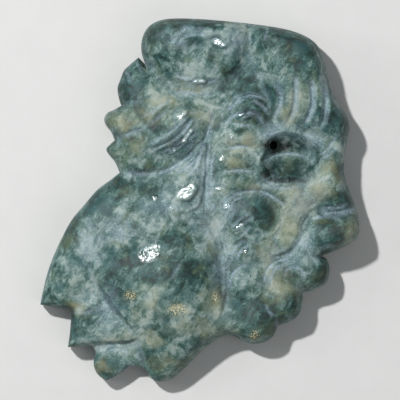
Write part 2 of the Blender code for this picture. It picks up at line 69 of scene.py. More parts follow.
# Places are in hundredths of HEIGHT from the middle of the front view. The outline is a chain of
# smooth stretches, clockwise from the slit under the ear. Where two stretches meet is a corner.
OUTLINE = (
    # Ear, crown, brow and bridge, down to the tip of the snout
    ((-15, 37.2), (-16.1, 40.7), (-15.9, 44.5), (-14, 47.9), (-10.2, 49.7), (-2.7, 50), (11, 48.9),
     (22.5, 47.3), (28.3, 45.5), (32.1, 42.9), (34.1, 39), (35.3, 33.5), (37.2, 28.2), (40.1, 23.8),
     (41.2, 20.6), (40.6, 16.5), (39.7, 10.5), (39.8, 7), (41.4, 2), (43.5, -3.7), (44, -8),
     (43.3, -10.7)),
    # Chin
    ((43.3, -10.7), (40.4, -12.4), (36.5, -14.3), (33.2, -15.4)),
    # The three beads under the jaw
    ((33.2, -15.4), (34.9, -16.3), (35.7, -19.5), (34.7, -22.9), (31.6, -24.7), (28.4, -25.5)),
    ((28.4, -25.5), (28.3, -28.8), (26.8, -32.2), (24.2, -33.6), (21.3, -34.6)),
    ((21.3, -34.6), (20.2, -37.4), (17.6, -39.2), (14.3, -39.6), (11.4, -38.6), (9.6, -37.4)),
    # Belly, down to the lowest lobe
    ((9.6, -37.4), (7.4, -37.4), (3.8, -38.9), (0, -41.9), (-3.8, -45.9), (-7.4, -49), (-11, -50),
     (-13.7, -48.9), (-14.8, -47)),
    ((-14.8, -47), (-16.8, -45.9), (-19.5, -45.9)),
    # Third, second and first tail feathers
    ((-19.5, -45.9), (-22.3, -47.9), (-25.8, -49.5), (-28.3, -47.8), (-29.3, -45.1), (-28.8, -41.8),
     (-29.9, -40.2)),
    ((-29.9, -40.2), (-33, -40.4), (-36.4, -40.5)),
    ((-36.4, -40.5), (-35.9, -37.1), (-35.6, -33.5), (-35.6, -30.2)),
    ((-35.6, -30.2), (-39.5, -29.7), (-44, -28.8)),
    # Back, up to the nape
    ((-44, -28.8), (-43.3, -25.3), (-41.6, -18.7), (-38.7, -11.8), (-35.4, -5.6), (-31.6, -1),
     (-28.2, 2.9), (-24.7, 5.5), (-22.1, 7.6)),
    # Scallops of the fin
    ((-22.1, 7.6), (-23.4, 10.4), (-25.3, 12.8), (-25.8, 14.1), (-24.7, 15.4), (-23.5, 16.5)),
    ((-23.5, 16.5), (-24.5, 18.8), (-25.9, 20.6), (-26.4, 22.4), (-25.5, 24), (-23.6, 24.9), (-21.7, 26)),
    ((-21.7, 26), (-22.4, 28.3), (-22.7, 31), (-22, 33)),
    ((-22, 33), (-20.9, 35.7), (-19.5, 37.1), (-16.9, 39.3)),
    ((-16.9, 39.3), (-15, 37.2)),
)
HOLE_PLACE = (20.1, 15.0)  # the eye's inner corner, where the socket is deepest
TAIL_CORNER = (-36.0, -40.0)  # where the edge's rounding is that of the feathers
TAIL_REACH = 26.0  # and how far from there it has become that of the body

# Levels are heights above GROUND, in hundredths or so of the way to THICKNESS. The highest of them
# is brought to THICKNESS itself.
VALLEY = 46.0  # between the forms of the head and body
VALLEY_START = (-14.0, -24.0)  # where the valley's level starts to fall towards the feathers
VALLEY_END = (-24.0, -40.0)
LEVELS_ACROSS = HEIGHT / (THICKNESS - GROUND)  # as many levels as one hundredth of HEIGHT is long

# How the forms meet
SIDE_FALL = 2.2 * LEVELS_ACROSS  # fall of a form's side outside its edge, in levels for each unit of width
BLEND = 4.0  # levels over which a form's side runs softly into what is round it
SOFTNESS = 0.4  # how far a form's inner ridges are rounded, as a share of its reach
RIDGE_GAIN = 1.5  # most that this rounding may lift a place close to the edge

# Hand-made unevenness of the carving. Sizes are in hundredths of HEIGHT, rises in the carving's levels.
WOBBLE = 0.25  # how far the forms' edges wander
WOBBLE_SIZE = 4.0
WOBBLE_SEEDS = (3.7, 8.2)
WAVE = 1.2
WAVE_SIZE = 5.0
WAVE_SEED = 1.3
RIPPLE = 0.5
RIPPLE_SIZE = 1.6
RIPPLE_SEED = 5.1

# Small cuts, and the spots that are worn flat
FLUTE = (1.9, 11.0, 0.30)  # width, depth and ends of the brow's flutes
RIDGE = (1.3, -3.0)  # width and depth of a ridge, which is a groove the other way up
FACET_SHARE = 0.95  # how much of the form a worn spot takes away
FACET_REACH = 0.5  # where it has become flat, as a share of its own greatest depth
GLINT_EDGE = 0.5  # how wide the edge of a polished spot is, as a share of the spot's half width

# The mesh
EDGE_RINGS = 9  # rings of points on a rounded edge, at equal angles round it
RING_GAP = 0.30  # least distance between points on the rings, as a share of the outline's own spacing
LATTICE_SIDE = 120  # side of the square of points that the stone is cut from
INNER_MARGIN = 0.45  # from the last ring to the points inside it, as a share of the points' step
LINE_GAP = 0.6  # least distance of points on a guide line, as the same share
LATTICE_GAP = 0.72  # and of points on the lattice
HOLE_MARGIN = 0.4  # and from the hole's edge
MERGE_GAP = 1e-7
TINY = 1e-12

# The pale haze in the cuts
HAZE_ROUNDS = 14  # how far the haze reaches out of a hollow, in rounds of blurring over the mesh
CUT_DEPTH = 0.00016  # how far below its surroundings a place has the full haze
HAZE_SPREAD = 0.5  # how much wider than a cut its haze is
HAZE_FULL = 3.8  # depth of a cut that has the full haze, for each unit of its width

# Patches of colour, each x, y, half the width and half the height
PATCH_FALL = 0.7  # how steeply a patch fades
PATCH_WOBBLE = 2.2  # how far its edge wanders
PATCH_WOBBLE_SIZE = 3.0
PATCH_SEEDS = (2.4, 6.6)
# Darker patches: partly the stone's own deep green mottling, partly painted shade, as along the crown, the
# right edge, the tail feathers' left edge and on the haunch.
DARK_AND_SHADED_PATCHES = (
    (-3, 48, 9, 1.5), (-13, 44, 3, 3), (-9, 38, 3, 2), (4, 40, 2, 1), (9, 35, 3, 2), (20, 44, 6, 3),
    (24, 43, 4, 3), (25, 37, 3, 2), (28, 41, 4, 4), (-19.5, 34.5, 1.5, 1.5), (-19.5, 34, 2, 2),
    (-19, 30, 4, 5), (-5, 25.5, 3, 1), (6, 31, 3, 1.5), (11.5, 32, 2, 4), (18, 28.5, 4, 3),
    (-20.6, 18, 2, 1.5), (-20.5, 20.5, 2, 2), (-19, 17, 2, 1), (-12, 20, 3, 2), (-7, 15, 7, 2),
    (4, 21, 1.5, 2), (11, 18.7, 2, 1), (15, 24, 2, 2), (15, 23.5, 3, 2), (36, 15, 2.5, 2), (37, 21, 4, 3),
    (37, 16, 1.5, 1.5), (-15, 8, 3, 2), (22, 8, 4, 2), (36, 8, 1.5, 2), (40, 10, 1.5, 3), (-29, -4, 3, 3),
    (-27.5, 0, 3, 2), (-25, -1.5, 5, 3), (-23, 5, 2, 2), (-14, 3, 4, 2), (-11.5, -3, 2, 2),
    (1.5, -4, 2, 1.5), (11, -2, 2, 2), (11, -4.5, 1.5, 2), (19.5, -3, 3, 4), (27, 1, 2, 2), (37, -3, 3, 2),
    (38, 1, 4, 2), (-35, -8, 2, 5), (-29, -11, 1.5, 2), (-17.5, -7, 1.6, 1.2), (-8, -10.5, 4, 1.5),
    (-3, -7.6, 2.4, 1), (11, -10, 3, 2), (28.5, -7, 2, 1.5), (32, -5.5, 3, 1.5), (36, -8, 4, 3),
    (-29, -18.7, 3, 1.5), (-24.8, -24, 2, 2.5), (-23.4, -25, 2, 3), (-21.5, -24, 2, 5), (-21, -25, 3, 2),
    (-18, -17, 7, 3), (-13.5, -21, 3, 2), (-10, -18, 4, 4), (-5.5, -24, 2, 2), (-2, -20, 4, 4),
    (3, -15, 2, 3), (8, -25, 3, 2), (23, -19, 3, 2), (23, -25, 2, 2), (32, -20, 2, 2), (-35, -34, 2.5, 5),
    (-34.5, -30.5, 2, 1.5), (-33, -31, 3, 2), (-20.6, -26, 2, 3), (-9.6, -32.5, 1.5, 2), (10, -32, 3, 2),
    (10, -27, 3, 3), (16, -31, 7, 5), (22, -26.5, 3, 2), (24, -27, 2, 3), (-35, -37, 2, 3),
    (-34.4, -37, 1.5, 2.5), (-12, -44, 4, 2), (-12, -41, 2.5, 1.5), (11, -36, 3, 1.5), (17, -35, 3, 2),
    (-26, -46, 3, 2),
)
# Paler patches: partly the stone's own pale mottling, partly painted highlight, as round the glints on the
# neck, the haunch and the ear.
PALE_AND_LIT_PATCHES = (
    (4, 45.5, 2, 2), (10, 47, 5, 1), (-12, 41, 2, 2), (-9, 36, 2, 1.5), (-1, 35.5, 5, 2), (3, 36, 3, 1.5),
    (5.5, 44, 2, 2), (13, 44, 4, 2), (14, 43, 3, 2.5), (15.5, 44.5, 2, 1.5), (18, 37, 1.5, 2),
    (-11, 28.5, 4.5, 3), (-10, 29.7, 4.5, 2), (2, 34.5, 2, 2), (18, 34, 2, 2), (-1, 24, 4, 3), (1, 23, 3, 2),
    (7.5, 18, 3, 2), (17, 15, 2, 2), (25, 24.5, 3, 3), (25, 25, 2.5, 3), (36.5, 24, 2, 1.5),
    (-17, 10.5, 2, 1.5), (-15.5, 12.5, 2, 3), (-11, 10, 3, 1.5), (-6, 8, 3, 2), (0, 8, 1.5, 4),
    (13, 14.5, 4, 3.5), (16, 13, 4, 3), (30, 6, 4, 2), (31, 7, 4, 1.5), (32, 6, 3, 1.5), (39, 12, 2, 3),
    (-27.5, -5, 3, 1.5), (-20, -3.5, 3, 1.5), (-16, 2.5, 1.5, 2), (-15, 3, 3, 2), (-6, -4, 4, 3),
    (-4, 1, 4, 4), (-3, 0, 3, 2), (-1.5, 3, 2, 5), (5.5, 3.3, 3, 1.5), (22, 2, 2, 1.5), (23, -5, 2.5, 4),
    (23.4, 0.5, 3, 1), (28, -1, 3, 3), (34, 1.5, 2, 1.5), (38, 3, 2, 1.5), (-31, -14, 4, 4),
    (-26, -13.8, 3, 1.5), (-25, -14, 3, 2), (-23, -11, 5, 2), (-16, -12, 3, 1.5), (-14, -9, 3, 2),
    (-12.5, -11, 2, 2.5), (1, -12, 2, 4), (5, -9, 3, 4), (15, -8, 2, 1.5), (17, -8, 2, 2), (29, -8, 2, 3),
    (40, -9.6, 1.5, 2), (-37, -15, 1.5, 2), (-37, -17, 1.5, 3), (-34, -24, 3, 3), (-34, -21.5, 2, 3),
    (-32.2, -24, 2.5, 2.5), (-13, -18, 3, 1.5), (-2, -15.5, 2, 2), (12.5, -23, 2, 2), (14, -16.5, 2, 1.5),
    (20, -23, 2, 2), (-32, -34, 2, 1.5), (-16.5, -29.7, 1.5, 2), (-16.5, -30.5, 2, 2), (-15, -33, 2, 3),
    (-14, -28, 2, 3), (-1, -33, 2, 3), (1.4, -30, 1.5, 2), (1.4, -30.5, 2, 2), (1.5, -28, 1.5, 3),
    (5, -31, 2, 2), (12.5, -26, 2, 2), (-30, -39.6, 6, 0.8), (-22, -37, 4, 1.5), (-22, -38.5, 3, 1.5),
    (-21, -39, 4, 1.5), (-16.5, -39.5, 3, 2), (-9.6, -43.5, 2, 1.5), (-8.5, -41, 2, 2), (-5, -35, 4, 3),
    (-5, -38, 6, 1.5),
)
WARM_PATCHES = (
    (-9, 27.5, 3, 1.5), (-3, 31, 4, 1), (27.5, 28, 2, 3), (-22, 21, 3, 2), (-15, 23.5, 3, 2), (1, 23, 3, 2),
    (14, 15, 3, 2), (25, 24, 2, 3), (-17, 14.5, 2, 2), (10, 10, 3, 2), (10, 14, 3, 2), (36, 8, 2, 3),
    (15, 2.5, 2, 1.5), (25, -1.5, 3, 2), (26, 1, 4, 2), (28, -1, 3, 3), (33, 2.5, 3, 2), (3, -10, 2, 4),
    (24, -7, 3, 4), (41, -9, 2, 3), (18, -15, 2, 3), (19, -20, 2, 2), (22, -23, 4, 3), (-33.5, -29, 2, 1),
    (-12, -28, 1.5, 3), (-6, -29.5, 2, 1), (5, -28, 2, 4), (-22, -38, 3, 1), (-13, -38, 2, 1.5),
    (-9, -45, 3, 1.5), (-1, -35, 6, 2), (-27, -46.5, 2, 1.5),
)
COOL_PATCHES = (
    (-6, 42, 5, 3), (6, 41, 6, 4), (23, 43, 5, 3), (25, 42, 3, 2), (-18, 26, 3, 3), (-17, 30, 2, 3),
    (5.5, 31, 3, 2), (7, 30.5, 3, 2), (12, 32, 4, 4), (20.5, 30, 3, 3), (-4, 25, 2, 2), (-4, 24.5, 3, 1.5),
    (31, 21, 6, 2), (17, 12.5, 2.5, 3), (-26, -3, 5, 4), (-13, 4, 4, 3), (-9.5, 3, 3, 2), (-7, 3, 3, 1.5),
    (17, -4, 3, 3), (39, 4, 2, 4), (40, 4, 2, 4), (-7, -7, 3, 2), (-36, -20, 4, 4), (-22, -18, 6, 4),
    (-20, -25, 2, 2), (-8, -22, 6, 6), (21, -21, 2, 2), (22.5, -21, 3, 2), (26, -15, 2, 2), (-34, -34, 3, 3),
    (-10, -32, 3, 3), (-9, -32, 3, 3), (12, -30, 3, 2), (-25, -43, 3, 3),
)
BLUE_PATCHES = (
    (-3, 45.6, 4, 1), (-6, 43.5, 2, 1.5), (10, 43, 3, 2), (-2, 30, 5, 1), (20, 19, 4, 2), (31, 17, 4, 2),
    (-1, 11, 3, 5), (-10, -2, 4, 2), (2, 0, 2, 9), (8, -2, 3, 3), (20, 5, 3, 2), (28, 0, 3, 3),
    (-30, -12, 3, 5), (-22, -8, 5, 2), (3, -9, 3, 3), (29, -11, 2, 4), (6, -16, 2, 6), (22, -15, 4, 2),
    (-25, -29, 3, 4),
)
# The eye's patches mix in deep green: the eyeball's own deeper green stone, and painted shade in the socket's
# deep inner corner by the hole.
EYE_PATCHES = ((24.0, 7.8, 5.4, 2.8), (20.8, 14.6, 2.2, 1.6), (26, 15, 3.2, 1.3))
# Painted shadow, near black: round the hanging hole, and along the eye socket's lower and left rims.
SOCKET_SHADOW_PATCHES = ((20.0, 15.0, 2.3, 1.6), (23.0, 14.7, 1.6, 0.9), (23, 5.2, 4, 0.6), (18.5, 7.5, 1, 1.2))
# Painted sparkles: small golden glints put into the colour.
SPARKLE_PATCHES = ((-6, -30, 2.0, 1.2), (-19, -26, 1.1, 1.1), (4.1, -26.7, 0.8, 1), (14.9, -37, 1, 1))
PATCHES = {  # what is kept on the mesh for the stone, and how much of the wobble each has
    "dark_and_shaded": (DARK_AND_SHADED_PATCHES, 1.0),
    "pale": (PALE_AND_LIT_PATCHES, 1.0),
    "warm": (WARM_PATCHES, 1.0),
    "cool": (COOL_PATCHES, 1.0),
    "blue": (BLUE_PATCHES, 1.0),
    "eye": (EYE_PATCHES, 0.4),
    "socket_shadow": (SOCKET_SHADOW_PATCHES, 0.3),
    "sparkle": (SPARKLE_PATCHES, 0.0),
}

# Polished spots that catch the light: x, y, half the length, half the width, tilt in degrees
GLINTS = (
    (-13.8, -14.2, 3.8, 2.9, 30), (-3.6, 2.2, 3.6, 2.3, 40), (5.2, 43.0, 2.6, 1.6, -30),
    (-12.2, 0.5, 1.2, 0.9, 0), (-8.0, -2.2, 1.2, 0.7, -40), (-3.3, 33.3, 2.0, 0.8, -18),
    (-0.2, 32.5, 2.2, 0.8, -6), (-5.0, 23.2, 2.6, 1.0, 35), (-2.6, 18.8, 1.3, 0.8, 45),
    (-4.1, 16.2, 1.2, 0.8, 50), (-7.1, 13.8, 1.0, 0.7, 40), (10.8, 23.3, 1.7, 0.7, 12),
    (8.5, 17.4, 1.0, 0.9, 0), (5.7, 11.5, 1.4, 0.8, 65), (4.9, 3.2, 0.9, 0.9, 0), (7.4, -1.6, 1.3, 0.9, 60),
    (10.6, -7.2, 1.8, 0.8, 48), (12.5, -13.8, 1.2, 0.7, 70),
)


def screen_colour(red, green, blue):
    """A screen colour, 0 to 255, as the linear one that a shader takes."""
    shares = [value / 255 for value in (red, green, blue)]
    linear = [s / 12.92 if s <= 0.04045 else ((s + 0.055) / 1.055) ** 2.4 for s in shares]
    return (*linear, 1.0)


# The stone's colours
DEEP_GREEN = screen_colour(24, 46, 42)
DARK_GREEN = screen_colour(42, 74, 68)
MID_GREEN = screen_colour(78, 108, 102)
LIGHT_GREEN = screen_colour(118, 140, 136)
CREAM = screen_colour(152, 168, 162)
TEAL = screen_colour(52, 92, 94)
OLIVE = screen_colour(96, 112, 84)
BEIGE = screen_colour(156, 154, 122)
HAZE = screen_colour(164, 184, 198)
# Near black of the painted shadow in the eye socket
SOCKET_SHADOW = screen_colour(12, 15, 13)
# Colour of the painted golden sparkles
SPARKLE = screen_colour(236, 224, 176)
TONES = ((0.08, DEEP_GREEN), (0.28, DARK_GREEN), (0.48, MID_GREEN), (0.66, LIGHT_GREEN), (0.86, CREAM))

# Layers of the stone: size in metres, detail, roughness, distortion, turn in degrees, stretch
CLOUDS = (0.0036, 6.0, 0.62, 1.0)
FLECKS = (0.0012, 6.0, 0.76, 0.8)
STREAKS = (0.0012, 5.0, 0.70, 0.5, 57.0, 3.4)
GRAINS = (0.00030, 3.0, 0.6)
HUES = (0.0030, 3.0, 0.6, 0.6, 20.0)
VEINS = (0.0024, 4.0, 0.6, 1.2, 50.0, 1.6)
STRANDS = (0.00080, 5.0, 0.75, 2.5)
DUST = (0.00022, 3.0, 0.7)
PITS = (0.00040, 4.0, 0.7)
WEAR = (0.00050, 5.0, 0.7)
SCRATCHES = (0.00010, 2.0, 0.5, 0.0, 35.0, 9.0)
DENTS = (0.00050, 0.5, 0.5)

# How much each adds to the stone's tone, which runs from 0 for the darkest to 1 for the palest
MIDDLE_TONE = 0.48
CLOUD_GAIN = 1.40
FLECK_GAIN = 1.30
STREAK_GAIN = 1.20
GRAIN_GAIN = 0.36
# The paler patches raise the tone both for pale stone and for painted highlight.
PALE_AND_LIT_GAIN = 0.31
# The darker patches lower the tone both for deep green stone and for painted shade.
DARK_AND_SHADED_GAIN = 0.41
TINT_GAIN = 0.09  # of the warm and cool patches, on the layer of hues

# Ranges: two values of a layer, and what they become
VEIN_RANGE = (0.0, 0.022, 0.16, 0.0)
OLIVE_RANGE = (0.52, 0.66, 0.0, 0.45)
TEAL_RANGE = (0.46, 0.34, 0.0, 0.50)
WARM_RANGE = (0.38, 0.62, 0.35, 0.95)
EYE_RANGE = (0.10, 0.65)
EYE_FLECKS = (0.38, 0.62, 1.0, 0.55)
SOCKET_SHADOW_RANGE = (0.05, 0.45)
SOCKET_SHADOW_FLECKS = (0.40, 0.60, 1.0, 0.45)
STRAND_RANGE = (0.40, 0.60, 0.25, 1.0)
DUST_RANGE = (0.36, 0.58, 0.35, 1.0)
SPARKLE_RANGE = (0.50, 0.56)
PIT_RANGE = (0.34, 0.46)
ROUGH_RANGE = (0.3, 0.7, 0.52, 0.64)
SHEEN_RANGE = (0.0, 1.0, 0.30, 0.60)

# Shares
BEIGE_SHARE = 0.60  # of the beige where it is warm
HOLLOW_SHARE = 0.45  # of the haze that a hollow has
BLUE_SHARE = 0.75  # and a blue patch
EYE_SHADE = 0.85  # of the haze that the eye takes away
DARK_SHADE = 0.40  # and a dark patch
EYE_DARK = 0.88  # of the deep green in the eye
POLISH_GAIN = 0.45  # by how much polish lowers the roughness
EYE_DULL = 0.18  # and the eye lowers the sheen

# Bumps: strength, and height in metres
WEAR_BUMP = (0.6, 0.00006)
SCRATCH_BUMP = (0.25, 0.00002)
BRUSHED_BUMP = (0.5, 0.00005)
DENT_BUMP = (1.0, 0.00010)
EVEN_VALUES = {  # what is the same all over the stone
    "IOR": 1.58,
    "Subsurface Weight": 0.06,
    "Subsurface Radius": (0.8, 1.0, 0.8),
    "Subsurface Scale": 0.0005,
}

# Floor, light and camera. Each light: its place, the side of its square and its power
FLOOR_LOW = screen_colour(206, 206, 204)
FLOOR_HIGH = screen_colour(212, 212, 210)
FLOOR_SPECKLE = (0.004, 2.0, 0.5)
FLOOR_ROUGHNESS = 0.7
FLOOR_SIDE = 3.0
KEY_PLACE = (-0.22, 0.22, 0.52)
LIGHTS = {
    "key": (KEY_PLACE, 0.028, 3.35),
    "side": ((-0.50, 0.10, 0.35), 0.20, 0.4),
    "fill": ((0.35, -0.25, 0.60), 0.50, 0.7),
}
WORLD_COLOUR = screen_colour(236, 240, 245)
WORLD_STRENGTH = 0.24
CAMERA_HEIGHT = 0.60
FRAME_WIDTH = 0.060  # what the photograph's 400 pixels span
SENSOR = 36.0
CLIP_START = 0.01


def smooth(knots, closed=False):
    """Points of a smooth curve through the knots."""
    points = [Vector(knot) for knot in knots]
    count = len(points)
    tangents = []
    for i, point in enumerate(points):
        before = points[i - 1] if closed or i else point
        after = points[(i + 1) % count] if closed or i < count - 1 else point
        tangents.append((after - before) / ((after - point).length + (point - before).length))
    curve = []
    for i in range(count if closed else count - 1):
        start, end = points[i], points[(i + 1) % count]
        pull = (end - start).length / 3
        handle_1 = start + tangents[i] * pull
        handle_2 = end - tangents[(i + 1) % count] * pull
        curve += interpolate_bezier(start, handle_1, handle_2, end, SPAN_POINTS)[:-1]
    if not closed:
        curve.append(points[-1])
    return np.array([point.to_2d() for point in curve])


def even(curve, step):
    """The curve's points spaced again, about a step apart, both ends kept."""
    lengths = np.linalg.norm(np.diff(curve, axis=0), axis=1)
    along = np.concatenate([[0.0], np.cumsum(lengths)])
    count = max(2, round(along[-1] / step) + 1)
    wanted = np.linspace(0.0, along[-1], count)
    return np.column_stack([np.interp(wanted, along, curve[:, axis]) for axis in (0, 1)])


def oval(middle, half_length, half_width, tilt=0.0, points=40):
    """A closed ellipse, its length turned by tilt degrees from +X."""
    turn = np.linspace(0.0, 2 * math.pi, points, endpoint=False)
    length, width = half_length * np.cos(turn), half_width * np.sin(turn)
    cos, sin = math.cos(math.radians(tilt)), math.sin(math.radians(tilt))
    return np.column_stack([middle[0] + length * cos - width * sin, middle[1] + length * sin + width * cos])


def distance_to(places, curve, closed=False):
    """Each place's distance to the curve, and how far along the curve its nearest point is, 0 to 1."""
    ends = np.roll(curve, -1, axis=0) if closed else curve[1:]
    starts = curve if closed else curve[:-1]
    nearest = np.full(len(places), np.inf)
    along = np.zeros(len(places))
    for number, (start, end) in enumerate(zip(starts, ends)):
        run = end - start
        share = np.clip((places - start) @ run / max(run @ run, TINY), 0.0, 1.0)
        gap = np.linalg.norm(places - start - share[:, None] * run, axis=1)
        closer = gap < nearest
        nearest[closer] = gap[closer]
        along[closer] = (number + share[closer]) / len(starts)
    return nearest, along


def is_inside(places, curve):
    """Whether each place is inside the closed curve."""
    x, y = places.T
    inside = np.zeros(len(places), bool)
    for (x0, y0), (x1, y1) in zip(curve, np.roll(curve, -1, axis=0)):
        if y0 != y1:
            inside ^= ((y0 > y) != (y1 > y)) & (x < x0 + (y - y0) * (x1 - x0) / (y1 - y0))
    return inside


def depth_inside(places, curve):
    """Each place's distance to the closed curve, negative outside it."""
    distance, _ = distance_to(places, curve, closed=True)
    return np.where(is_inside(places, curve), distance, -distance)


def soft_depth(places, curve, softness):
    """The same, but with no ridge inside where two stretches of the curve are equally near.

    It rounds such a ridge over about the softness, as a polished pillow is rounded.
    """
    total = np.zeros(len(places))
    for start, end in zip(curve, np.roll(curve, -1, axis=0)):
        gap = np.linalg.norm(places - (start + end) / 2, axis=1)
        total += math.dist(start, end) * np.exp(-gap / softness)
    soft = -softness * np.log(np.maximum(total / (2.0 * softness), TINY))
    depth = depth_inside(places, curve)
    return np.where(depth > 0.0, np.clip(soft, 0.0, RIDGE_GAIN * np.maximum(depth, 0.0)), depth)


def near(places, curve, margin):
    """The numbers of the places within the curve's own rectangle, widened by the margin."""
    low, high = curve.min(axis=0) - margin, curve.max(axis=0) + margin
    return np.flatnonzero(np.all((places > low) & (places < high), axis=1))


def ramp(places, start, end):
    """0 at the start and before it, 1 at the end and past it, with an easy slope between."""
    run = np.subtract(end, start)
    share = np.clip((places - start) @ run / (run @ run), 0.0, 1.0)
    return share * share * (3.0 - 2.0 * share)


def swell(depth, reach):
    """A pillow's rise: steepest at its edge, level from the reach on."""
    share = np.clip(depth / reach, 0.0, 1.0)
    return share * (2.0 - share)


def round_over(depth, width):
    """A quarter round's rise across the width, 0 to 1."""
    share = np.clip(depth / width, 0.0, 1.0)
    return np.sqrt(share * (2.0 - share))


class Form:
    """A swelling form that stands on the ground round it, from foot to top."""

    def __init__(self, edge, foot, top, reach, fall=None, blend=BLEND):
        self.line = edge
        self.foot, self.top, self.reach, self.fall, self.blend = foot, top, reach, fall, blend

    def carve(self, places, levels):
        close = near(places, self.line, (self.foot + self.blend) / SIDE_FALL)
        depth = soft_depth(places[close], self.line, SOFTNESS * self.reach)
        own = self.foot + (self.top - self.foot) * swell(depth, self.reach)
        own += np.minimum(depth, 0.0) * SIDE_FALL
        if self.fall:
            start, end, drop = self.fall
            own -= drop * ramp(places[close], start, end)
        overlap = np.maximum(self.blend - np.abs(own - levels[close]), 0.0)
        levels[close] = np.maximum(levels[close], own) + overlap**2 / (4.0 * self.blend)


class Swelling:
    """A form added on top of what is there. With a negative rise it is a hollow."""

    def __init__(self, edge, rise, reach):
        self.line, self.rise, self.reach = edge, rise, reach

    def carve(self, places, levels):
        close = near(places, self.line, 0.0)
        depth = soft_depth(places[close], self.line, SOFTNESS * self.reach)
        levels[close] += self.rise * swell(depth, self.reach)


class Groove:
    """A round-bottomed cut along a curve, shallower towards both ends."""

    def __init__(self, knots, width, depth, ends=0.25):
        self.line = smooth(knots)
        self.width, self.depth, self.ends = width, depth, ends

    def profile(self, places, width):
        """The places near a cut of the width given, and how deep in it each is, 0 to 1."""
        close = near(places, self.line, width / 2)
        distance, along = distance_to(places[close], self.line)
        share = np.clip(2.0 * distance / width, 0.0, 1.0)
        taper = swell(np.minimum(along, 1.0 - along), self.ends)
        return close, (1.0 - share**2) * taper

    def carve(self, places, levels):
        close, deep = self.profile(places, self.width)
        levels[close] -= self.depth * deep

    def cloud(self, places, haze):
        close, deep = self.profile(places, self.width + HAZE_SPREAD)
        haze[close] = np.maximum(haze[close], deep * min(1.0, self.depth / (HAZE_FULL * self.width)))


def facing(middle):
    """The slope of a face that throws the key light to the camera, at a place in the plan."""
    place = np.array((*(middle * HEIGHT / 100), THICKNESS))
    to_key = np.array(KEY_PLACE) - place
    to_eye = np.array((0.0, 0.0, CAMERA_HEIGHT)) - place
    half = to_key / np.linalg.norm(to_key) + to_eye / np.linalg.norm(to_eye)
    return -half[:2] / half[2]


class Facet:
    """A nearly flat place, worn and polished, that throws the key light to the camera."""

    def __init__(self, edge):
        self.line = edge

    def carve(self, places, levels):
        close = near(places, self.line, 0.0)
        if not len(close):
            return
        middle = self.line.mean(axis=0)
        offset = places[close] - middle
        here = np.argmin(np.linalg.norm(offset, axis=1))
        steepness = (THICKNESS - GROUND) / levels.max() / (HEIGHT / 100)  # of a level in a unit of width
        flat = levels[close][here] + offset @ facing(middle) / steepness
        depth = depth_inside(places[close], self.line)
        share = FACET_SHARE * swell(depth, FACET_REACH * depth.max())
        levels[close] += share * (flat - levels[close])


def body_forms():
    """Fin, neck, back, tail feathers and haunch. Edges that meet the outline run out past it."""
    fin = smooth((
        (-15.2, 36.6), (-20.5, 38.8), (-24.5, 33), (-25, 27), (-28.5, 23.5), (-26.5, 17),
        (-28, 14.5), (-24.5, 8.3), (-16.5, 7.6), (-11, 8.3), (-5.5, 11), (-0.8, 15.2), (2.2, 20.5),
        (3.8, 25.5), (1.6, 28.9), (-3.8, 29.4), (-9.3, 31.3), (-12.9, 34.1)), True)
    neck = smooth((
        (-9, 6.6), (-5.8, 8.8), (-2.2, 11.4), (1.6, 15.1), (1.4, 9.6), (0.8, 3.8), (-0.2, -0.8),
        (-3, -3), (-6.6, -3), (-9.2, -0.8), (-10.2, 3)), True)
    back = smooth((
        (-21.7, 6.9), (-27.5, 5.5), (-33.5, 0.5), (-38, -5), (-41.5, -12), (-44.5, -19),
        (-47, -30), (-39.5, -31), (-34, -29.9), (-30.3, -29.6), (-28, -27.4), (-28.6, -23.1),
        (-26, -21), (-18, -26), (-8, -26), (0, -20), (3, -12), (1, -4),
        (0.4, 3), (0.4, 9), (-3, 9.8), (-8, 7.6), (-14, 6.6)), True)
    second_feather = smooth((
        (-34, -28.5), (-38, -31.5), (-38.5, -42.3), (-31, -41.5), (-28.7, -39.4), (-25, -38.6),
        (-18.5, -38.2), (-15.5, -36.5), (-20, -31.5), (-24.5, -26), (-28, -23)), True)
    haunch = smooth((
        (-28.4, -16.4), (-25.4, -14.6), (-20.9, -12.6), (-15.4, -10.2), (-10.4, -7.7), (-5.5, -5.2),
        (-0.3, -3.6), (3.6, -6), (5.5, -11.3), (6.6, -17), (6.9, -23.4), (6, -28.8), (4.5, -34),
        (4.5, -41), (-2.5, -48.5), (-9, -53), (-15, -52), (-14.2, -44.5), (-15.9, -39),
        (-19.2, -33.8), (-23.9, -28), (-27.2, -23), (-29, -19.4)), True)
    return [
        Form(second_feather, 20, 27, 2.5, fall=((-20, -33), (-36, -40), 6)),
        Form(back, 44, 76, 9, fall=((-20, 0), (-38, -29), 30)),
        Form(fin, 46, 68, 6, fall=((-8, 22), (-26, 20), 16)),
        Form(neck, 56, 80, 5, blend=16),
        Form(haunch, 49, 98, 10, fall=((-10, -26), (-12, -50), 34), blend=18),
        Swelling(oval((-8, 18.7), 10, 4.2, 41), 18, 3.8),
        Swelling(oval((-5, 22.8), 4.4, 2.4, 38), 7, 2.4),
        Swelling(oval((-4, 2), 4.6, 3, 45), 7, 3),
    ]


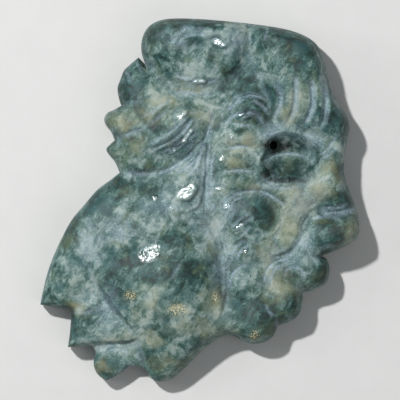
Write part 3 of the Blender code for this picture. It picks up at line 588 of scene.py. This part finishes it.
def head_forms():
    """Ear, brow, mane, cheek, snout and the beads under the jaw."""
    ear = smooth((
        (-14.4, 37.6), (-19, 41), (-18.5, 47.5), (-14.5, 52.5), (-4, 55), (10, 56),
        (16, 52), (14.6, 46), (13.6, 40), (11.2, 35.4), (6.9, 32.1), (1.6, 30.4), (-4.4, 30.6),
        (-9.6, 32.7)), True)
    ear_dish = smooth((
        (-7.7, 38.5), (-6.6, 42.3), (-2.7, 44.5), (2.2, 45.2), (7.1, 44), (9.9, 40.7), (9.3, 36.8),
        (6, 33.8), (1.4, 32.4), (-3.3, 33), (-6.6, 35.2)), True)
    brow = smooth((
        (10, 54), (24, 52.5), (34, 47), (37, 39), (38, 33), (41.5, 27.5), (44, 21.5),
        (41.5, 15.8), (35.2, 15.4), (31.3, 17.3), (27.2, 19.2), (22.8, 19.8), (19.2, 19.8), (17.6, 23.1),
        (18.1, 27.5), (16.5, 31.9), (14.4, 36.3), (13.4, 41.8), (11.5, 47)), True)
    cheek = smooth((
        (17.6, 4.4), (22, 4.4), (26.4, 5.5), (30.5, 7.7), (33, 11), (34.3, 14.6), (38, 16.5),
        (42.5, 13), (42.5, 7.7), (43.5, 2.3), (44, -1), (38.5, -1.5), (33.5, -1.4), (29.9, -3),
        (28, -6.6), (26.9, -11), (23.6, -14), (19.5, -14.8), (18.7, -12.6), (21.7, -9.9),
        (22.8, -5.5), (21.7, -1.1), (19.2, 1.6)), True)
    snout = smooth((
        (31, -3.8), (35.2, -2.9), (40.4, -2.2), (46, -3), (47, -8), (45.5, -12.5),
        (38.5, -16), (33, -17), (29.8, -14.8), (28.4, -11.8), (28.9, -7.1)), True)
    eye_socket = smooth((
        (17, 12.9), (18.1, 16.2), (20.9, 18.7), (24.7, 18.8), (28.6, 17.7), (31.6, 15.7), (33.2, 13.2),
        (32.7, 10.2), (30.5, 8), (27.5, 6), (23.4, 4.9), (19.5, 5.5), (17, 8.2), (16.3, 10.7)), True)
    return [
        Form(ear, 46, 84, 5),
        Form(brow, 46, 86, 6),
        Form(cheek, 50, 86, 6),
        Form(snout, 48, 88, 5),
        Form(oval((13.2, 24.4), 6.8, 4.8, 10), 48, 74, 4),
        Form(oval((10.2, 17.5), 6.6, 4.2, -8), 48, 80, 4.2),
        Form(oval((9.9, 11), 6.7, 4, 0), 48, 80, 4),
        Form(oval((10.4, 4.9), 6.3, 3.7, -5), 48, 80, 3.7),
        Form(oval((13.9, -4.2), 8.4, 6.6, -20), 48, 90, 6.6),
        Form(oval((11.9, -14.3), 6.2, 4.4, -10), 46, 76, 4.4),
        Form(oval((12.4, -22), 5.8, 5.2, 0), 46, 70, 5.2),
        Form(oval((24.6, -20.2), 7, 4.8, 0), 46, 68, 4.8),
        Form(oval((31.2, -19.8), 5.4, 5.4, 0), 42, 66, 5.4),
        Form(oval((23.8, -28), 6, 6.6, 20), 42, 68, 6),
        Form(oval((15.6, -33.2), 6.8, 7.2, 0), 42, 71, 6.8),
        Swelling(ear_dish, -13, 2.6),
        Swelling(oval((3.8, 40.2), 2, 1.5, 0), -10, 1.6),
        Swelling(oval((20.6, 36.8), 5, 4, 0), 9, 3.8),
        Swelling(eye_socket, -33, 2.8),
        Swelling(oval((24.8, 8.9), 6.8, 3.3, 3), 17, 3),
    ]


def body_grooves():
    """The wide cuts of the neck, body and fin."""
    return [
        Groove(((3.8, 24.2), (2.7, 19.8), (1.6, 13.7), (1.1, 8.2), (1.1, 2.2), (1.1, -3.3)), 2.8, 5),
        Groove(((1.1, -3.3), (3.8, -7.7), (5.5, -11.8), (5.8, -17), (6.6, -22.5), (7.1, -27.5),
                (7, -33.4)), 3.2, 6),
        Groove(((-23.5, 8), (-16.5, 7.3), (-11, 7.7), (-6, 9.6), (-1.1, 13.7), (2.7, 19)), 2, 6),
        Groove(((-13.9, 13.9), (-9, 15.8), (-4.8, 19), (-1.6, 23)), 1.5, 5),
        Groove(((-21.7, 26), (-18.8, 26.4), (-15.5, 27.9)), 1.8, 4, 0.6),
        Groove(((-23.5, 16.5), (-20.3, 17.6), (-16.6, 19.7)), 1.8, 7, 0.6),
        Groove(((-6.6, -3.8), (-2.7, -6), (0, -9.3)), 2.4, 4),
    ]


def head_grooves():
    """The four crescent flutes of the brow, and the wide cuts of the mane and muzzle."""
    flutes = (
        ((20.3, 33), (22.1, 28.8), (21.6, 25.4), (19.5, 20.9)),
        ((25.8, 34.6), (26.2, 30.9), (26.1, 27.5), (25.4, 24), (23.6, 20.6)),
        ((29.9, 34.3), (30.6, 29.5), (30.7, 26.4), (29.7, 22.7), (28.4, 20.2)),
        ((33.2, 35.2), (34.2, 29.5), (34.4, 26.1), (34, 22.3), (33, 19.4)),
    )
    cuts = [Groove(knots, *FLUTE) for knots in flutes]
    cuts += [
        Groove(((32.1, -3.3), (35.2, -3.7), (38.7, -3.4), (43.5, -2)), 2.4, 11),
        Groove(((30.8, -3), (28.3, -6), (27.7, -9.9), (25.5, -14), (22.3, -15.9), (18.7, -17)), 3, 8),
        Groove(((15.4, 2.7), (18.7, 1.6), (22.3, -0.8)), 1.6, 7),
        Groove(((8.8, 25.3), (11, 27.7), (13.7, 28.7), (17, 28)), 1.5, 7),
        Groove(((10.6, 22.6), (13.7, 23.9), (15.8, 23), (17, 20.8)), 1.9, 11),
    ]
    return cuts


def draw_outline():
    """The outline's points in hundredths of HEIGHT, evenly spaced, and the middle of their box to centre them
    by.
    """
    step = 100 * RIM_STEP / HEIGHT
    points = np.concatenate([even(smooth(knots), step)[:-1] for knots in OUTLINE])
    middle = (points.min(axis=0) + points.max(axis=0)) / 2
    return points, middle


def beside(curve, gap):
    """The curve moved sideways, to the right of the way that it runs."""
    run = np.gradient(curve, axis=0)
    right = np.column_stack([run[:, 1], -run[:, 0]])
    return curve + gap * right / np.linalg.norm(right, axis=1)[:, None]


def guide_lines(forms, step):
    """Curves that the points follow: each form's edge or each groove's middle, and both sides of it."""
    lines = [form.line for form in forms]
    for form in forms:
        gap = form.width / 2 if isinstance(form, Groove) else GUIDE_GAP * step
        lines += [beside(form.line, gap), beside(form.line, -gap)]
    return lines


class Spread:
    """A set of places in the plan, none of them too close to another."""

    def __init__(self, cell):
        self.cell = cell
        self.cells = {}
        self.places = []

    def add(self, place, gap):
        column, row = int(place[0] // self.cell), int(place[1] // self.cell)
        for near_column in range(column - 1, column + 2):
            for near_row in range(row - 1, row + 2):
                for other in self.cells.get((near_column, near_row), ()):
                    if math.dist(place, other) < gap:
                        return
        self.cells.setdefault((column, row), []).append(place)
        self.places.append(place)


def spread_inside(outline, rings, lines, step):
    """The outline's places, then places on inner rings, on the lines, and on a lattice of the step."""
    spread = Spread(step)
    rim_step = np.linalg.norm(np.diff(outline, axis=0), axis=1).mean()
    for place in outline:
        spread.add(tuple(place), 0.0)
    for ring in rings:
        moved = beside(outline, RING_OVERSHOOT * ring)
        clear = depth_inside(moved, outline) > ring
        for place in moved[clear]:
            spread.add(tuple(place), RING_GAP * rim_step)
    margin = rings[-1] + INNER_MARGIN * step
    for line in lines:
        points = even(line, step)
        for place in points[depth_inside(points, outline) > margin]:
            spread.add(tuple(place), LINE_GAP * step)
    rows = int(LATTICE_SIDE / step)
    lattice = [((column + 0.5 * (row % 2) - 0.5 * rows) * step, (row - 0.5 * rows) * step * math.sqrt(0.75))
               for row in range(rows) for column in range(rows)]
    lattice = np.array(lattice)
    for place in lattice[depth_inside(lattice, outline) > margin]:
        spread.add(tuple(place), LATTICE_GAP * step)
    return np.array(spread.places)


def skin(places, rim_count, ring):
    """Triangles over the places, inside the rim that the first of them make, with the ring's edges kept."""
    rim = [(i, (i + 1) % rim_count) for i in range(rim_count)]
    rim += list(zip(ring, ring[1:] + ring[:1]))
    found = delaunay_2d_cdt([Vector(place) for place in places], rim, [], 1, MERGE_GAP)
    return np.array([tuple(vert) for vert in found[0]]), found[2]


def fine_cuts():
    """The incised lines that are too narrow for the solid, each with its width and depth."""
    ear = (
        (((-7.2, 34.7), (-4.4, 33.3), (-1.1, 32.3), (2.2, 32.3), (5.2, 33.3)), 1.1, 5),
        (((-6.9, 41.8), (-5.2, 44), (-2.8, 45.1), (0, 45.3), (2.8, 44.6)), 1, 3.3),
        (((-9.1, 41.3), (-7.4, 44.6), (-4.4, 46.5), (0, 46.8), (3.9, 46.2)), 0.9, 2.2),
        (((8.3, 44.6), (9.4, 42.9), (9.6, 41.5)), 0.7, 2.2),
        (((9.9, 44.6), (11, 42.6), (11.3, 41)), 0.7, 2.2),
        (((18.4, 47.9), (18.2, 45.7), (17.3, 42.9)), 0.6, 1.5),
    )
    fin = (
        (((-16.4, 39.9), (-15.4, 38.5), (-14.7, 37.4)), 0.9, 7.7),
        (((-20.4, 35.2), (-19.5, 33.8), (-19.3, 32.2)), 0.8, 3.3),
        (((-17.6, 38), (-16.2, 35.8), (-16, 33.6)), 0.7, 2.2),
        (((-16.5, 22.6), (-13.2, 24.2), (-10.2, 26.1), (-7.7, 27.2)), 1, 2.2),
        (((-19, 18.4), (-14.9, 20.1), (-11, 22.8), (-8.3, 25.3)), 1, 2.2),
        (((-13.5, 13.2), (-11, 14.6), (-7.7, 16.2), (-5, 18.4), (-2.2, 20.9)), 0.8, 3.9),
        (((-11.6, 12.7), (-8.8, 14), (-6.1, 15.7), (-3.6, 17.9), (-1.4, 19.5)), 0.8, 3.9),
        (((-9.4, 12.4), (-6.9, 13.8), (-4.4, 15.4), (-2.2, 17.3), (-0.3, 19)), 0.8, 3.3),
        (((-14.3, 14.6), (-11.6, 16.5), (-8.3, 18.4), (-5.5, 20.9), (-3.3, 23.1)), 0.8, 2.8),
    )
    neck = (
        (((3.9, 24.8), (2.8, 20.6), (1.7, 17.1), (0, 13.2), (-1.4, 9.4)), 0.8, 3.9),
        (((2.8, 16.5), (1.9, 12.4), (1.7, 7.7), (1.7, 2.2), (1.1, -3.3)), 0.8, 3.3),
        (((1.7, 16), (0, 12.1), (-1.7, 8.8), (-3.9, 6.1)), 0.8, 2.8),
        (((0.6, 13.8), (-1.4, 11), (-3.9, 8.8), (-6.6, 7.2)), 0.8, 2.8),
        (((3.9, 13.8), (3, 8.3), (2.8, 2.8), (2.2, -1.7)), 0.7, 2.8),
        (((-10.2, -0.6), (-8.8, -3.3), (-6.6, -5.5)), 1, 2.2),
        (((-9.4, 2.8), (-10.5, 1.1), (-11.6, -1.1)), 1, 2.2),
    )
    mane = (
        (((8.3, 27.5), (10.5, 28.3), (13.2, 28.7), (16, 28.3), (18.2, 27.2)), 0.9, 3.9),
        (((13.8, 27.2), (16, 26.4), (17.6, 25), (18.7, 23.1)), 0.9, 3.3),
        (((6.6, 20.4), (8.3, 22.6), (10.5, 23.5), (12.7, 23.9)), 0.9, 3.9),
        (((7.2, 24.2), (9.4, 26.1), (11.8, 27.2)), 0.8, 2.8),
        (((7.2, 13.8), (10.2, 14.6), (13.8, 14.3)), 0.9, 3.3),
        (((7.2, 7.7), (10.5, 8.3), (14.3, 7.7)), 0.9, 3.3),
        (((6.1, -2.8), (6.6, -0.8), (8.3, 0.8), (11, 2.1), (14.3, 2.5), (16.5, 2)), 0.9, 4.4),
        (((7.2, -3.9), (7.7, -1.7), (9.4, -0.1), (11.6, 0.8)), 0.8, 3.3),
        (((8.3, -8), (9.9, -6.1), (11.8, -4.4), (14, -3.3)), 0.8, 3.3),
        (((9.4, -9.4), (11, -7.2), (12.9, -5.5), (14.9, -4.4)), 0.8, 3.3),
        (((10.7, -10.5), (12.4, -8.5), (14, -6.9)), 0.8, 2.8),
        (((8.3, -17.1), (8.8, -14.3), (10.5, -12.1), (12.9, -10.7)), 0.8, 3.3),
        (((9.9, -17.1), (10.5, -14.9), (11.8, -13.2), (13.8, -12.1)), 0.7, 2.8),
        (((8.3, -24.8), (8.5, -21.5), (9.9, -19), (12.4, -17.6)), 0.8, 3.3),
    )
    face = (
        (((17.6, 2.2), (19.8, 1.1), (22, -0.6), (23.1, -2.2)), 0.9, 3.9),
        (((32.7, 12.1), (34.7, 13.8), (36.3, 16.2), (37.1, 17.6)), 0.8, 3.9),
        (((33, 11), (35.5, 12.7), (37.7, 14.9)), 0.8, 3.3),
        (((17.6, 5.2), (20.9, 3.6), (24.8, 3.3), (28.6, 4.4)), 0.8, 2.8),
        (((17, 10.4), (19.4, 12), (22.3, 12.7), (25.5, 12.7), (29.5, 11.8)), 1, 6),
        (((32.2, -2.8), (34.9, -2.2), (38, -1.8), (40.7, -1.1)), 0.8, 3.3),
        (((29.7, -5.2), (32.5, -4.7), (35.5, -4.5), (38.5, -5.1)), 0.8, 3.3),
        (((30.8, -13.8), (33.6, -12.9), (36.9, -12.4)), 0.8, 2.2),
    )
    beads = (
        (((18.2, -23.7), (17.7, -21.2), (18.4, -19), (20.1, -17.2), (22.3, -16.4), (25.3, -16.2)), 0.9, 4.4),
        (((19.5, -23.7), (19.3, -21.5), (20.1, -19.5), (21.7, -18.2), (23.9, -17.6)), 0.8, 3.3),
        (((23.1, -20.9), (23.4, -19.3), (25, -18.4), (27, -18.7), (28.3, -20.1), (28.3, -22.3)), 0.8, 3.9),
        (((21.7, -35.2), (20.4, -32.5), (18.7, -30.3), (17.6, -28.1)), 0.9, 4.4),
    )
    tail = (
        (((-8, -21.7), (-6.6, -19.3), (-5.2, -17.1)), 0.8, 1.7),
        (((-35.2, -30.8), (-32.8, -30.7), (-30.4, -30.4), (-28.6, -28.6)), 1.1, 6, 0.6),
        (((-29.5, -40.4), (-25, -39.8), (-19, -39.4)), 1, 3, 0.6),
        (((-26.4, -41.3), (-22.6, -41), (-18.7, -42.1)), 0.9, 2.2),
    )
    return [Groove(*cut) for cut in ear + fin + neck + mane + face + beads + tail]


def fine_ridges():
    """Low ridges and polished facets that catch the light, and the hollow at the root of the tail."""
    ridges = (
        ((-5.5, 33.8), (-3.6, 32.7), (-0.8, 32.2), (1.9, 32.3)),
        ((-3.2, 19.6), (-1.6, 21.7)),
        ((-3.8, 17.1), (-1.9, 19.4)),
        ((-5.4, 15), (-3.6, 16.9)),
        ((8.6, 22.7), (10.7, 23.8), (12.9, 24)),
        ((17.2, 13), (16.4, 10), (17.4, 7)),
    )
    found = [Groove(knots, *RIDGE) for knots in ridges]
    root = smooth(((-27.8, -24.8), (-24.2, -28.6), (-19.8, -34.2), (-22.5, -36.2), (-27, -34.2),
                   (-29, -29)), True)
    found.append(Swelling(root, -7, 2.4))
    found += [Facet(oval((x, y), length, width, tilt)) for x, y, length, width, tilt in GLINTS]
    return found


def carving():
    """All the forms and cuts, in the order in which they are made."""
    return body_forms() + head_forms() + body_grooves() + head_grooves() + fine_cuts() + fine_ridges()


def unevenness(places, size, seed):
    """A soft hand-made waviness, about -1 to 1, with bumps of the size given, in hundredths of HEIGHT."""
    return np.array([noise.noise(Vector((x / size, y / size, seed))) for x, y in places])


def front_level(places, outline):
    """Height of the carved front above the flat back, in metres."""
    levels = VALLEY * (1.0 - ramp(places, VALLEY_START, VALLEY_END))
    wander = np.column_stack([unevenness(places, WOBBLE_SIZE, seed) for seed in WOBBLE_SEEDS])
    moved = places + WOBBLE * wander
    for form in carving():
        form.carve(moved, levels)
    levels += WAVE * unevenness(places, WAVE_SIZE, WAVE_SEED)
    levels += RIPPLE * unevenness(places, RIPPLE_SIZE, RIPPLE_SEED)
    height = GROUND + levels / levels.max() * (THICKNESS - GROUND)
    tail = np.clip(np.linalg.norm(places - TAIL_CORNER, axis=1) / TAIL_REACH, 0.0, 1.0)
    rounding = TAIL_ROUNDING + (FRONT_ROUNDING - TAIL_ROUNDING) * tail
    depth = np.maximum(depth_inside(places, outline), 0.0) * HEIGHT / 100
    return EDGE + (height - EDGE) * round_over(depth, rounding)


def back_level(places, outline):
    """Height of the back, which is flat but for its rounded edge, in metres."""
    depth = np.maximum(depth_inside(places, outline), 0.0) * HEIGHT / 100
    return BACK_ROUNDING * (1.0 - round_over(depth, BACK_ROUNDING))


def hole_ring(level):
    """The hanging hole's edge in the plan, at a height above the back."""
    radius = (HOLE_BACK + (HOLE_FRONT - HOLE_BACK) * level / THICKNESS) / 2
    return oval(HOLE_PLACE, 100 * radius / HEIGHT, 100 * radius / HEIGHT, points=HOLE_SIDES)


def pierced_skin(outline, rings, lines, step, hole):
    """Places and triangles over the outline, the hole left open. The hole's places come after the rim's."""
    spread = spread_inside(outline, rings, lines, step)
    radius = np.linalg.norm(hole[0] - HOLE_PLACE)
    clear = np.linalg.norm(spread - HOLE_PLACE, axis=1) > radius + HOLE_MARGIN * step
    places = np.concatenate([outline, hole, spread[len(outline):][clear[len(outline):]]])
    rim_count, hole_count = len(outline), len(hole)
    ring = range(rim_count, rim_count + hole_count)
    places, faces = skin(places, rim_count, list(ring))
    faces = [face for face in faces if not all(corner in ring for corner in face)]
    return places, faces


def wall(start, end, count):
    """Quads between two closed rows of points, given by their first numbers."""
    return [(start + i, start + (i + 1) % count, end + (i + 1) % count, end + i) for i in range(count)]


def stone_points():
    """The stone's points, faces, the points' places in the plan, and how many of them are in front."""
    outline, middle = draw_outline()
    unit = HEIGHT / np.ptp(outline[:, 1])
    share = 100 / HEIGHT
    lines = guide_lines(carving(), PLAN_STEP * share)
    front_hole, back_hole = hole_ring(THICKNESS), hole_ring(0.0)
    ring_places = [1.0 - math.cos(math.pi / 2 * ring / EDGE_RINGS) for ring in range(1, EDGE_RINGS + 1)]
    front_rings = [FRONT_ROUNDING * share * place for place in ring_places]
    front, front_faces = pierced_skin(outline, front_rings, lines, PLAN_STEP * share, front_hole)
    back_rings = [BACK_ROUNDING * share * place for place in ring_places]
    back, back_faces = pierced_skin(outline, back_rings, [], BACK_STEP * share, back_hole)
    rows = [outline] * (WALL_ROWS - 1)
    heights = np.linspace(EDGE, BACK_ROUNDING, WALL_ROWS + 1)[1:-1]
    plan = np.concatenate([front, back] + rows)
    level = np.concatenate([front_level(front, outline), back_level(back, outline),
                            np.repeat(heights, len(outline))])
    points = np.column_stack([(plan - middle) * unit, level])
    points += (MIDDLE.x, MIDDLE.y, LOW.z)
    faces = [tuple(face) for face in front_faces]
    faces += [tuple(len(front) + i for i in reversed(face)) for face in back_faces]
    count = len(outline)
    starts = [0] + [len(front) + len(back) + row * count for row in range(WALL_ROWS - 1)] + [len(front)]
    for start, end in zip(starts, starts[1:]):
        faces += wall(start, end, count)
    hole = wall(count, len(front) + count, HOLE_SIDES)
    faces += [tuple(reversed(face)) for face in hole]
    return points, faces, plan, len(front)


def neighbour_mean(values, edges, rounds):
    """The values blurred over the mesh's edges."""
    shared = np.bincount(edges.ravel(), minlength=len(values))
    for _ in range(rounds):
        total = np.bincount(edges[:, 0], values[edges[:, 1]], len(values))
        total += np.bincount(edges[:, 1], values[edges[:, 0]], len(values))
        values = (total + values) / (shared + 1)
    return values


def patches(places, ovals):
    """How much each place is in any of the soft patches."""
    most = np.zeros(len(places))
    for x, y, half_width, half_height in ovals:
        reach = ((places[:, 0] - x) / half_width) ** 2 + ((places[:, 1] - y) / half_height) ** 2
        most = np.maximum(most, np.exp(-PATCH_FALL * reach))
    return most


def polish(places):
    """How polished each place is: fully in the middle of a glint, and not at all outside its edge."""
    most = np.zeros(len(places))
    for x, y, length, width, tilt in GLINTS:
        edge = oval((x, y), length, width, tilt)
        close = near(places, edge, 0.0)
        depth = depth_inside(places[close], edge)
        most[close] = np.maximum(most[close], swell(depth, GLINT_EDGE * width))
    return most


def carved_stone():
    """The stone's fine mesh, with what the material needs to know at each of its points."""
    points, faces, plan, front_count = stone_points()
    mesh = bpy.data.meshes.new("carved_stone_fine")
    mesh.from_pydata(points.tolist(), [], faces)
    mesh.validate()
    edges = np.zeros(len(mesh.edges) * 2, int)
    mesh.edges.foreach_get("vertices", edges)
    edges = edges.reshape(-1, 2)
    hollow = neighbour_mean(points[:, 2], edges, HAZE_ROUNDS) - points[:, 2]
    hollow[front_count:] = 0.0
    haze = np.zeros(len(points))
    for cut in body_grooves() + head_grooves() + fine_cuts():
        cut.cloud(plan, haze)
    haze[front_count:] = 0.0
    wander = np.column_stack([unevenness(plan, PATCH_WOBBLE_SIZE, seed) for seed in PATCH_SEEDS])
    wander = PATCH_WOBBLE * wander
    values = {"cut": np.clip(hollow / CUT_DEPTH, 0.0, 1.0), "haze": haze, "polish": polish(plan)}
    for name, (ovals, share) in PATCHES.items():
        values[name] = patches(plan + share * wander, ovals)
    for name, amount in values.items():
        mesh.attributes.new(name, "FLOAT", "POINT").data.foreach_set("value", amount.astype(np.float32))
    mesh.materials.append(jade())
    mesh.shade_smooth()
    stone = bpy.data.objects.new("carved_stone_fine", mesh)
    bpy.context.scene.collection.objects.link(stone)
    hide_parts("carved_stone")
    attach(stone, "root")
    return stone


class Graph:
    """A material's nodes, added one by one."""

    def __init__(self, name):
        self.material = bpy.data.materials.new(name)
        self.material.use_nodes = True
        self.nodes = self.material.node_tree.nodes
        self.links = self.material.node_tree.links
        self.shader = self.nodes["Principled BSDF"]

    def feed(self, socket, value):
        """A link if the value is another node's output, and otherwise a plain value."""
        if isinstance(value, bpy.types.NodeSocket):
            self.links.new(value, socket)
        else:
            socket.default_value = value

    def shade(self, name, value):
        """The same for an input of the material's own shader."""
        self.feed(self.shader.inputs[name], value)

    def add(self, kind, inputs, **settings):
        """A new node with its settings, each input fed by its name or number. Gives the node's outputs."""
        node = self.nodes.new(f"ShaderNode{kind}")
        for name, value in settings.items():
            setattr(node, name, value)
        for name, value in inputs.items():
            self.feed(node.inputs[name], value)
        return node.outputs

    def attribute(self, name):
        return self.add("Attribute", {}, attribute_name=name)["Fac"]

    def math(self, operation, first, second=0.0, clamp=False):
        return self.add("Math", {0: first, 1: second}, operation=operation, use_clamp=clamp)[0]

    def times(self, first, second, clamp=False):
        return self.math("MULTIPLY", first, second, clamp)

    def plus(self, first, second):
        return self.math("ADD", first, second)

    def minus(self, first, second, clamp=False):
        return self.math("SUBTRACT", first, second, clamp)

    def noise(self, size, detail, roughness, distortion=0.0, turn=0.0, stretch=1.0):
        """Noise with features of the size, in metres, turned in the plan and stretched along X."""
        mapping = {
            "Vector": self.add("TexCoord", {})["Object"],
            "Rotation": (0.0, 0.0, math.radians(turn)),
            "Scale": (size * stretch, size, size),
        }
        noise_inputs = {
            "Vector": self.add("Mapping", mapping, vector_type="TEXTURE")["Vector"],
            "Scale": 1.0,
            "Detail": detail,
            "Roughness": roughness,
            "Distortion": distortion,
        }
        return self.add("TexNoise", noise_inputs)["Fac"]

    def between(self, value, low, high, to_low=0.0, to_high=1.0):
        """The value brought from low and high to other limits, and held there."""
        inputs = {"Value": value, "From Min": low, "From Max": high, "To Min": to_low, "To Max": to_high}
        return self.add("MapRange", inputs)["Result"]

    def mix(self, share, first, second):
        """Two colours mixed. The node's inputs 6 and 7 and its output 2 are those for colours."""
        return self.add("Mix", {0: share, 6: first, 7: second}, data_type="RGBA")[2]

    def ramp(self, share, stops):
        colour = self.add("ValToRGB", {"Fac": share})["Color"]
        elements = colour.node.color_ramp.elements
        while len(elements) < len(stops):
            elements.new(1.0)
        for element, (place, tint) in zip(elements, stops):
            element.position = place
            element.color = tint
        return colour

    def bump(self, height, strength, distance, normal=None):
        inputs = {"Height": height, "Strength": strength, "Distance": distance}
        if normal:
            inputs["Normal"] = normal
        return self.add("Bump", inputs)["Normal"]


def mottling(graph, clouds, flecks, dark_and_shaded):
    """The stone's colour, deep green to cream, with painted highlight and shade in some patches."""
    tone = MIDDLE_TONE
    streaks, grains = graph.noise(*STREAKS), graph.noise(*GRAINS)
    layers = ((clouds, CLOUD_GAIN), (flecks, FLECK_GAIN), (streaks, STREAK_GAIN), (grains, GRAIN_GAIN))
    for layer, gain in layers:
        tone = graph.plus(graph.times(graph.minus(layer, 0.5), gain), tone)
    # Painted highlight as well as paler stone, from the paler patches.
    tone = graph.plus(tone, graph.times(graph.attribute("pale"), PALE_AND_LIT_GAIN))
    # Painted shade as well as deeper green stone, from the darker patches.
    tone = graph.minus(tone, graph.times(dark_and_shaded, DARK_AND_SHADED_GAIN))
    from_vein = graph.math("ABSOLUTE", graph.minus(graph.noise(*VEINS), 0.5))
    tone = graph.plus(tone, graph.between(from_vein, *VEIN_RANGE))
    warm = graph.attribute("warm")
    tint = graph.minus(warm, graph.attribute("cool"))
    hues = graph.plus(graph.noise(*HUES), graph.times(tint, TINT_GAIN))
    stone = graph.ramp(tone, TONES)
    stone = graph.mix(graph.between(hues, *OLIVE_RANGE), stone, OLIVE)
    stone = graph.mix(graph.between(hues, *TEAL_RANGE), stone, TEAL)
    warm = graph.times(warm, graph.between(clouds, *WARM_RANGE))
    return graph.mix(graph.times(warm, BEIGE_SHARE), stone, BEIGE)


def jade():
    """Mottled green and cream stone, unevenly polished, with a pale bluish haze left in the cuts."""
    graph = Graph("mottled jade")
    clouds, flecks, dust = graph.noise(*CLOUDS), graph.noise(*FLECKS), graph.noise(*DUST)
    dark_and_shaded = graph.attribute("dark_and_shaded")
    stone = mottling(graph, clouds, flecks, dark_and_shaded)
    eye = graph.times(graph.between(graph.attribute("eye"), *EYE_RANGE), graph.between(flecks, *EYE_FLECKS))

    strands = graph.between(graph.noise(*STRANDS), *STRAND_RANGE)
    broken = graph.times(strands, graph.between(dust, *DUST_RANGE))
    hollows = graph.times(graph.attribute("cut"), HOLLOW_SHARE)
    cuts = graph.math("MAXIMUM", graph.attribute("haze"), hollows)
    cuts = graph.math("MAXIMUM", cuts, graph.times(graph.attribute("blue"), BLUE_SHARE))
    shade = graph.minus(1.0, graph.times(eye, EYE_SHADE))
    shade = graph.minus(shade, graph.times(dark_and_shaded, DARK_SHADE), clamp=True)
    haze = graph.times(graph.times(cuts, broken), shade, clamp=True)
    # Deep green in the eye: the eyeball's own stone, and painted shade in the socket's inner corner.
    stone = graph.mix(graph.times(eye, EYE_DARK), stone, DEEP_GREEN)
    stone = graph.mix(haze, stone, HAZE)
    # Painted shadow round the hole and along the socket's rims, broken up by the flecks.
    socket_shadow = graph.between(graph.attribute("socket_shadow"), *SOCKET_SHADOW_RANGE)
    stone = graph.mix(graph.times(socket_shadow, graph.between(flecks, *SOCKET_SHADOW_FLECKS)), stone, SOCKET_SHADOW)
    # Painted golden sparkles, in small spots where the dust noise is high.
    sparkles = graph.times(graph.attribute("sparkle"), graph.between(dust, *SPARKLE_RANGE))
    graph.shade("Base Color", graph.mix(sparkles, stone, SPARKLE))

    spots = graph.attribute("polish")
    polished = graph.times(spots, graph.between(graph.noise(*PITS), *PIT_RANGE))
    rough = graph.minus(graph.between(flecks, *ROUGH_RANGE), graph.times(polished, POLISH_GAIN))
    graph.shade("Roughness", rough)
    sheen = graph.minus(graph.between(polished, *SHEEN_RANGE), graph.times(eye, EYE_DULL))
    graph.shade("Specular IOR Level", sheen)
    normal = graph.bump(graph.noise(*WEAR), *WEAR_BUMP)
    normal = graph.bump(graph.noise(*SCRATCHES), *SCRATCH_BUMP, normal)
    normal = graph.bump(graph.times(haze, dust), *BRUSHED_BUMP, normal)
    normal = graph.bump(graph.times(graph.noise(*DENTS), spots), *DENT_BUMP, normal)
    graph.shade("Normal", normal)
    for name, value in EVEN_VALUES.items():
        graph.shade(name, value)
    return graph.material


def floor():
    """A plain pale tabletop under the stone."""
    graph = Graph("pale tabletop")
    graph.shade("Base Color", graph.mix(graph.noise(*FLOOR_SPECKLE), FLOOR_LOW, FLOOR_HIGH))
    graph.shade("Roughness", FLOOR_ROUGHNESS)
    bpy.ops.mesh.primitive_plane_add(size=FLOOR_SIDE, location=(0.0, 0.0, LOW.z))
    plane = bpy.context.object
    plane.name = "tabletop"
    plane.data.materials.append(graph.material)


def lights():
    """Square soft boxes that face the stone, and a dim even surround."""
    for name, (place, side, power) in LIGHTS.items():
        lamp = bpy.data.lights.new(name, "AREA")
        lamp.size = side
        lamp.energy = power
        thing = bpy.data.objects.new(name, lamp)
        thing.location = place
        thing.rotation_euler = (-Vector(place)).to_track_quat("-Z", "Y").to_euler()
        bpy.context.scene.collection.objects.link(thing)
    world = bpy.data.worlds.new("soft studio")
    world.use_nodes = True
    background = world.node_tree.nodes["Background"]
    background.inputs["Color"].default_value = WORLD_COLOUR
    background.inputs["Strength"].default_value = WORLD_STRENGTH
    bpy.context.scene.world = world


def camera():
    """Straight above the stone, with the photograph's square frame FRAME_WIDTH wide at the stone's edge."""
    data = bpy.data.cameras.new("camera")
    data.sensor_width = SENSOR
    data.lens = SENSOR * (CAMERA_HEIGHT - EDGE) / FRAME_WIDTH
    data.clip_start = CLIP_START
    eye = bpy.data.objects.new("camera", data)
    eye.location = (0.0, 0.0, LOW.z + CAMERA_HEIGHT)
    bpy.context.scene.collection.objects.link(eye)
    bpy.context.scene.camera = eye
    bpy.context.scene.view_settings.view_transform = "Standard"


carved_stone()
floor()
lights()
camera()
